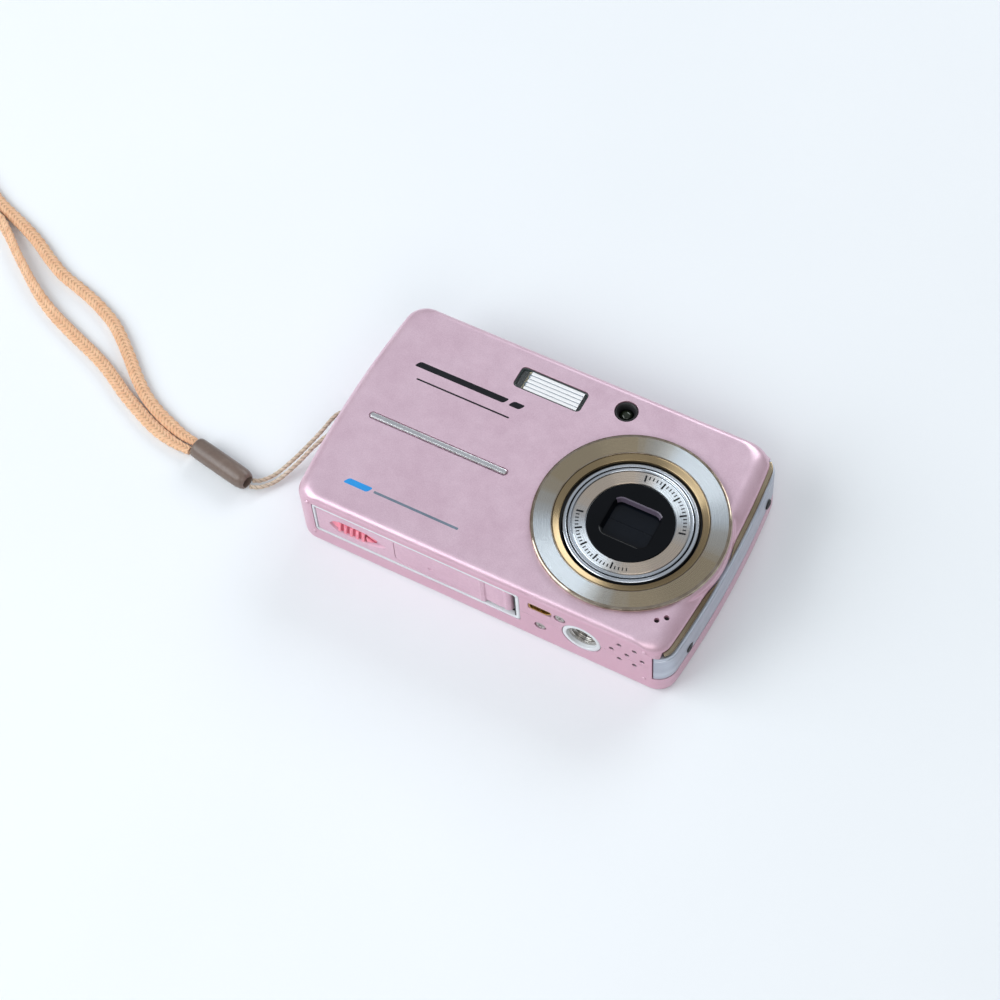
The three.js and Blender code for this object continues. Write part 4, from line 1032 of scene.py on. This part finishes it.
# ---------------------------------------------------------------- tripod socket and USB
def tripod_socket():
    threads = []
    for i in range(34):
        depth = 4.5 - i * 3.4 / 33
        threads.append((3.16 + 0.2 * math.cos(2 * math.pi * depth / 0.9), depth))
    profile = [(4.6, 5.6), (4.6, 0.25), (4.55, 0.08), (4.4, 0.0), (3.75, 0.0), (3.62, 0.1), (3.6, 0.9)]
    tags = [0] * 6
    profile += [(3.2, 1.0)] + threads[::-1] + [(2.9, 4.6), (0, 4.6), (0, 5.6)]
    tags += [1] * (len(profile) - 1 - len(tags))
    bm = lathe(profile, TRIPOD, "Y", 72, materials=tags)
    bmesh.ops.translate(bm, vec=(0, BASE_Y, 0), verts=bm.verts)
    return bm


def usb_outline(inset):
    x0, x1, z0, z1 = USB
    return offset([Vector(p) for p in ((x0 + 0.5, z0), (x1 - 1.1, z0), (x1, z0 + 0.95), (x1, z1 - 0.2),
                                       (x1 - 0.2, z1),
                                       (x0 + 0.2, z1), (x0, z1 - 0.2), (x0, z0 + 0.5))], inset)


def usb_shell():
    y = BASE_Y + 0.06
    return plate(usb_outline(0), [(0.1, y), (0, y + 0.08), (0, y + 4.9)], [usb_outline(0.3)], plane="base")


def usb_inside():
    y = BASE_Y
    core = plate(usb_outline(0.36), [(0, y + 0.75), (0, y + 4.6)], plane="base")
    contacts = [block(13.5 + i * 0.5, 13.72 + i * 0.5, y + 0.58, y + 3, 14.35, 14.95, 0.03) for i in range(8)]
    return core, merged(*contacts)


add_piece("tripod_collar", tripod_socket(), ("grey", "steel"), stands_for="tripod_socket")
add_piece("usb_shell", usb_shell(), "gold", stands_for="usb_connector")
usb_core, usb_contacts = usb_inside()
add_piece("usb_core", usb_core, "black")
add_piece("usb_contacts", usb_contacts, "gold")


# ---------------------------------------------------------------- keys, screen and eyelet
def top_key(x, radius):
    rim = TOP_Y + 0.3
    profile = [(0, rim - 0.12), (radius * 0.6, rim - 0.08), (radius * 0.84, rim - 0.01),
               (radius - 0.3, rim), (radius - 0.1, rim - 0.07),
               (radius, rim - 0.3), (radius, TOP_Y - 2.4), (0, TOP_Y - 2.4)]
    return lathe(profile, (x, TOP_KEY_Z), "Y", 72)


def rear_key(y):
    return lathe([(0, 0.42), (1.5, 0.4), (2.1, 0.3), (2.3, 0.34), (2.4, 0.5), (2.4, 1.5), (3.0, 1.5),
                  (3.0, 2.1), (0, 2.1)], (KEYS_X, y), "Z", 56)


def rocker():
    cap = plate(rect(KEYS_X - 6, KEYS_X + 6, 19, 23.8, 2.35, 10),
                [(0.35, 0.35), (0.1, 0.45), (0, 0.7), (0, 1.6)])
    dips = []
    for side in (-1, 1):
        for k in (-1, 0, 1):
            x = KEYS_X + side * 4.1 + k * 0.75
            dips.append(plate(rect(x - 0.16, x + 0.16, 20.3, 22.5, 0.14, 4), [(-0.05, 0.0), (0.05, 0.5)]))
    return combined(cap, dips)


def eyelet():
    body = plate(rect(-5.6, 2.4, 4.6, 9.9, 0.9), [(0.35, -47.35), (0.1, -47.2), (0, -46.9), (0, -42.8)],
                 plane="side")
    pocket = plate(rect(-5.0, 1.8, 5.3, 9.3, 1.2), [(-0.25, -50), (-0.2, -47.4), (0, -47.0), (0, -43.6)],
                   plane="side")
    frame_piece = combined(body, [pocket])
    bar = lathe([(0, 5.0), (0.95, 5.0), (0.9, 6.2), (0.88, 7.3), (0.9, 8.4), (0.95, 9.6), (0, 9.6)],
                (-46.3, -1.6), "Z", 40)
    return merged(frame_piece, bar)


for name, x, radius, body in (("shutter_key", -33, 4.2, "shutter_button"),
                              ("power_key", -17, 2.4, "power_button")):
    add_piece(name, top_key(x, radius), "chrome", body, body)
for name, y, body in (("play_key", 9, "play_button"), ("menu_key", 0, "menu_button")):
    add_piece(name, rear_key(y), "chrome", body, body)
add_piece("zoom_key", rocker(), "chrome", "zoom_rocker", "zoom_rocker")
add_piece("screen_pane", plate(rect(-22, 44, -25, 25, 1.0),
                               [(0.35, 0.2), (0.1, 0.26), (0, 0.45), (0, 1.15)]), "screen",
          stands_for="display_window")
add_piece("strap_bar", eyelet(), "trim", stands_for="strap_eyelet")


# ---------------------------------------------------------------- lens
AXIS = (LENS_X, LENS_Y)
INNER = "inner_barrel"
ring_profile = [(17.1, 19.4), (21.55, 19.4), (21.78, 19.5), (21.9, 19.75), (21.88, 20.1), (21.72, 20.36),
                (21.5, 20.47), (21.28, 20.46),
                (21.12, 20.4), (17.35, 20.26), (17.16, 20.2), (17.1, 20.1)]
ring_tags = [1, 1, 1, 1, 1, 1, 1, 1, 0, 1, 1, 1]
add_piece("face_ring", lathe(ring_profile, AXIS, steps=192, materials=ring_tags), ("ring", "rim"),
          stands_for="lens_ring",
          angle=22)
add_piece("warm_insert", lathe([(15.55, 18.9), (17.0, 18.9), (17.0, 20.14), (16.85, 20.18), (15.68, 19.78),
                                (15.55, 19.68)], AXIS, steps=160),
          "insert", stands_for="lens_ring_insert", angle=22)
add_piece("outer_tube", lathe([(14.0, 9), (14.8, 9), (14.8, 19.35), (14.74, 19.5), (14.58, 19.6),
                               (14.12, 19.62), (14.02, 19.56), (14.0, 19.4)],
                              AXIS, steps=160), "barrel", "outer_barrel", "outer_barrel",
          angle=25)
add_piece("inner_tube", lathe([(12.9, 9.3), (13.7, 9.3), (13.7, 19.5), (13.62, 19.66), (13.48, 19.72),
                               (13.1, 19.72), (13.02, 19.64),
                               (12.98, 19.4), (12.98, 19.1), (9.7, 19.1), (9.7, 18.5), (12.9, 18.5)], AXIS,
                              steps=160),
          "barrel", INNER, "inner_barrel", angle=25)
add_piece("name_plate", lathe([(9.9, 19.2), (12.75, 19.2), (12.82, 19.5), (12.78, 19.62), (12.66, 19.68),
                               (9.98, 19.6), (9.9, 19.5)], AXIS,
                              steps=160), "plate", INNER, "lens_faceplate", angle=22)


def bezel():
    """The glossy disc round the lens, with a rounded-square well."""
    x, y = AXIS
    rim = disc(x, y, 9.75, 96)
    well = rect(x - 5.7, x + 5.7, y - 4.8, y + 4.8, 1.9, 8)
    levels = [(0, 18.0), (0, 19.3), (0.08, 19.45), (0.25, 19.52)]
    bm = bmesh.new()
    outer = [[bm.verts.new((p.x, p.y, z)) for p in offset(rim, inset)] for inset, z in levels]
    inner = [[bm.verts.new((p.x, p.y, z)) for p in offset(well, inset)]
             for inset, z in ((0.42, 18.0), (0.34, 18.3), (-0.05, 19.3), (-0.3, 19.46), (-0.5, 19.52))]
    for rows in (outer, inner):
        skin(bm, rows)
    for a, b in ((outer[0], inner[0]), (outer[-1], inner[-1])):
        edges = [bm.edges.get((row[i - 1], row[i])) for row in (a, b) for i in range(len(row))]
        bmesh.ops.triangle_fill(bm, use_beauty=True, use_dissolve=False, edges=edges)
    # Painted light: the far wall of the well takes a lighter copy of the black, standing for the light that
    # falls on it.
    for face in bm.faces:
        middle = face.calc_center_median()
        if 18.2 < middle.z < 19.4 and abs(middle.x - x) < 6 and 4 < middle.y - y < 6:
            face.material_index = 1
    return bm


def shutter_blade(side):
    x, y = AXIS
    y0, y1 = (y + 0.025, y + 5.1) if side > 0 else (y - 5.1, y - 0.025)
    return plate(rect(x - 6.1, x + 6.1, y0, y1, 0.4), [(0, 16.9), (0, 17.5), (0.05, 17.58), (0.15, 17.6)])


add_piece("black_bezel", bezel(), ("gloss", "well"), INNER, "barrier_bezel")
for name, side in (("barrier_blade_upper", 1), ("barrier_blade_lower", -1)):
    add_piece(name + "_leaf", shutter_blade(side), "blade", name, name)
add_piece("first_lens", lathe([(0, 12.2), (4, 12.4), (5.8, 12.8), (5.9, 13.4)]
                              + [(5.9 * math.cos(a), 13.5 + 2.3 * math.sin(a))
                                 for a in (math.pi / 2 * i / 14 for i in range(15))],
                              AXIS, steps=96), "lens_glass", INNER, "front_element",
          angle=60)
add_piece("lens_funnel", lathe([(6.2, 12.2), (12.6, 12.2), (12.6, 16.5), (11.4, 16.5), (10.9, 16.1),
                                (10.3, 16.1), (9.9, 15.6), (9.3, 15.6),
                                (8.9, 15.1), (8.3, 15.1), (7.9, 14.6), (7.2, 14.6), (6.8, 14.2),
                                (6.2, 14.0)], AXIS, steps=96),
          "black", INNER, "lens_cell", angle=25)


# ---------------------------------------------------------------- generic printed marks
def stripe(x0, x1, y0, y1, z=FACE_Z, lean=0.0):
    bm = plate(rect(x0, x1, y0, y1, (y1 - y0) * 0.3, 3), [(0, z - 0.05), (0, z + 0.012)])
    for v in bm.verts:
        v.co.x += lean * (v.co.y - y0)
    return bm


def dial_marks():
    """A plain scale of fine divisions round the plate, longer at every fifth."""
    parts = []
    for start, stop, count in ((12, 100, 21), (192, 292, 25)):
        for i in range(count):
            angle = math.radians(start + (stop - start) * i / (count - 1))
            inner, outer = (10.6, 12.2) if i % 5 == 0 else (11.3, 12.1)
            half = 0.2 if i % 5 == 0 else 0.12
            d = Vector((math.cos(angle), math.sin(angle)))
            n = Vector((-d.y, d.x)) * half
            centre = Vector(AXIS)
            near, far = centre + d * inner, centre + d * outer
            parts.append(plate([near - n, far - n, far + n, near + n], [(0, 19.5), (0, 19.7)]))
    return merged(*parts)


add_piece("scale_marks", dial_marks(), "ink", INNER)
add_piece("print_upper", merged(stripe(-37.2, -14.6, 12.2, 13.7, lean=0.6),
                                stripe(-13.4, -10.6, 12.2, 13.7, lean=0.6)), "ink")
add_piece("print_line", stripe(-35.0, -11.6, 9.1, 9.5), "ink")
add_piece("print_blue", stripe(-36.6, -30.6, -21.4, -19.9, lean=0.6), "blue_ink")
add_piece("print_grey", stripe(-29.2, -8.2, -20.95, -20.35), "grey_ink")


# ---------------------------------------------------------------- CAD nodes that show as they are
FINISHES = {
    "black": ("flash_capacitor", "battery_bay", "speaker", "lens_housing", "cam_ring"),
    "steel": ("door_hinge_pin", "chassis_plate", "card_socket", "microphone", "zoom_motor"),
    "chrome": ("flash_reflector",),
    "clear": ("flash_tube",),
    "gold": ("battery_terminals",),
    "module": ("display_module",),
    "board": ("main_board", "button_board", "rear_key_board", "sensor_board"),
    "wrap": ("battery_pack",),
    "card": ("memory_card",),
    "gloss": ("image_sensor",),
}
for key, names in FINISHES.items():
    for name in names:
        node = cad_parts[name]
        node.data.materials.clear()
        node.data.materials.append(looks[key])


# ---------------------------------------------------------------- floor and light
def floor():
    bm = bmesh.new()
    rows = [[bm.verts.new((x, y, 0)) for x in np.linspace(-2600, 2600, 21)]
            for y in np.linspace(-2600, 2600, 21)]
    skin(bm, rows, closed=False)
    mesh = bpy.data.meshes.new("table")
    bm.to_mesh(mesh)
    bm.free()
    mesh.transform(Matrix.Scale(MM, 4))
    made = bpy.data.objects.new("table", mesh)
    look = Look("table_white", 0.75)
    look.join(look.blend(look.noise(6, 3.0), srgb(230, 234, 237), srgb(240, 243, 245)), "Base Color")
    look.relief(look.noise(900, 4.0, 0.7), 0.25, 0.12)
    mesh.materials.append(look.material)
    scene.collection.objects.link(made)


def softbox(name, place, target, size, power, colour):
    light = bpy.data.objects.new(name, bpy.data.lights.new(name, "AREA"))
    light.data.shape = "RECTANGLE"
    light.data.size, light.data.size_y = size
    light.data.energy = power
    light.data.color = colour
    light.location = place
    light.rotation_mode = "QUATERNION"
    light.rotation_quaternion = (Vector(target) - Vector(place)).to_track_quat("-Z", "Y")
    scene.collection.objects.link(light)


floor()
softbox("window", (-0.66, -0.5, 0.62), (0, 0, 0), (1.0, 0.7), 9.0, (0.92, 0.965, 1.0))
softbox("far_window", (0.1, 0.85, 0.55), (0, 0, 0), (0.7, 0.45), 4.0, (0.92, 0.965, 1.0))
softbox("fill", (0.5, -0.75, 0.75), (0, 0, 0), (0.8, 0.6), 3.2, (1.0, 0.985, 0.97))

world = bpy.data.worlds.new("room")
scene.world = world
world.use_nodes = True
tree = world.node_tree
direction = tree.nodes.new("ShaderNodeTexCoord")
parts = tree.nodes.new("ShaderNodeSeparateXYZ")
tree.links.new(direction.outputs["Generated"], parts.inputs[0])
gradient = tree.nodes.new("ShaderNodeValToRGB")
tree.links.new(parts.outputs["Z"], gradient.inputs["Fac"])
gradient.color_ramp.elements[0].position = 0.0
gradient.color_ramp.elements[0].color = (0.13, 0.10, 0.07, 1)
gradient.color_ramp.elements[1].position = 0.75
gradient.color_ramp.elements[1].color = (0.42, 0.44, 0.47, 1)
tree.links.new(gradient.outputs["Color"], tree.nodes["Background"].inputs["Color"])
tree.nodes["Background"].inputs["Strength"].default_value = 1.0
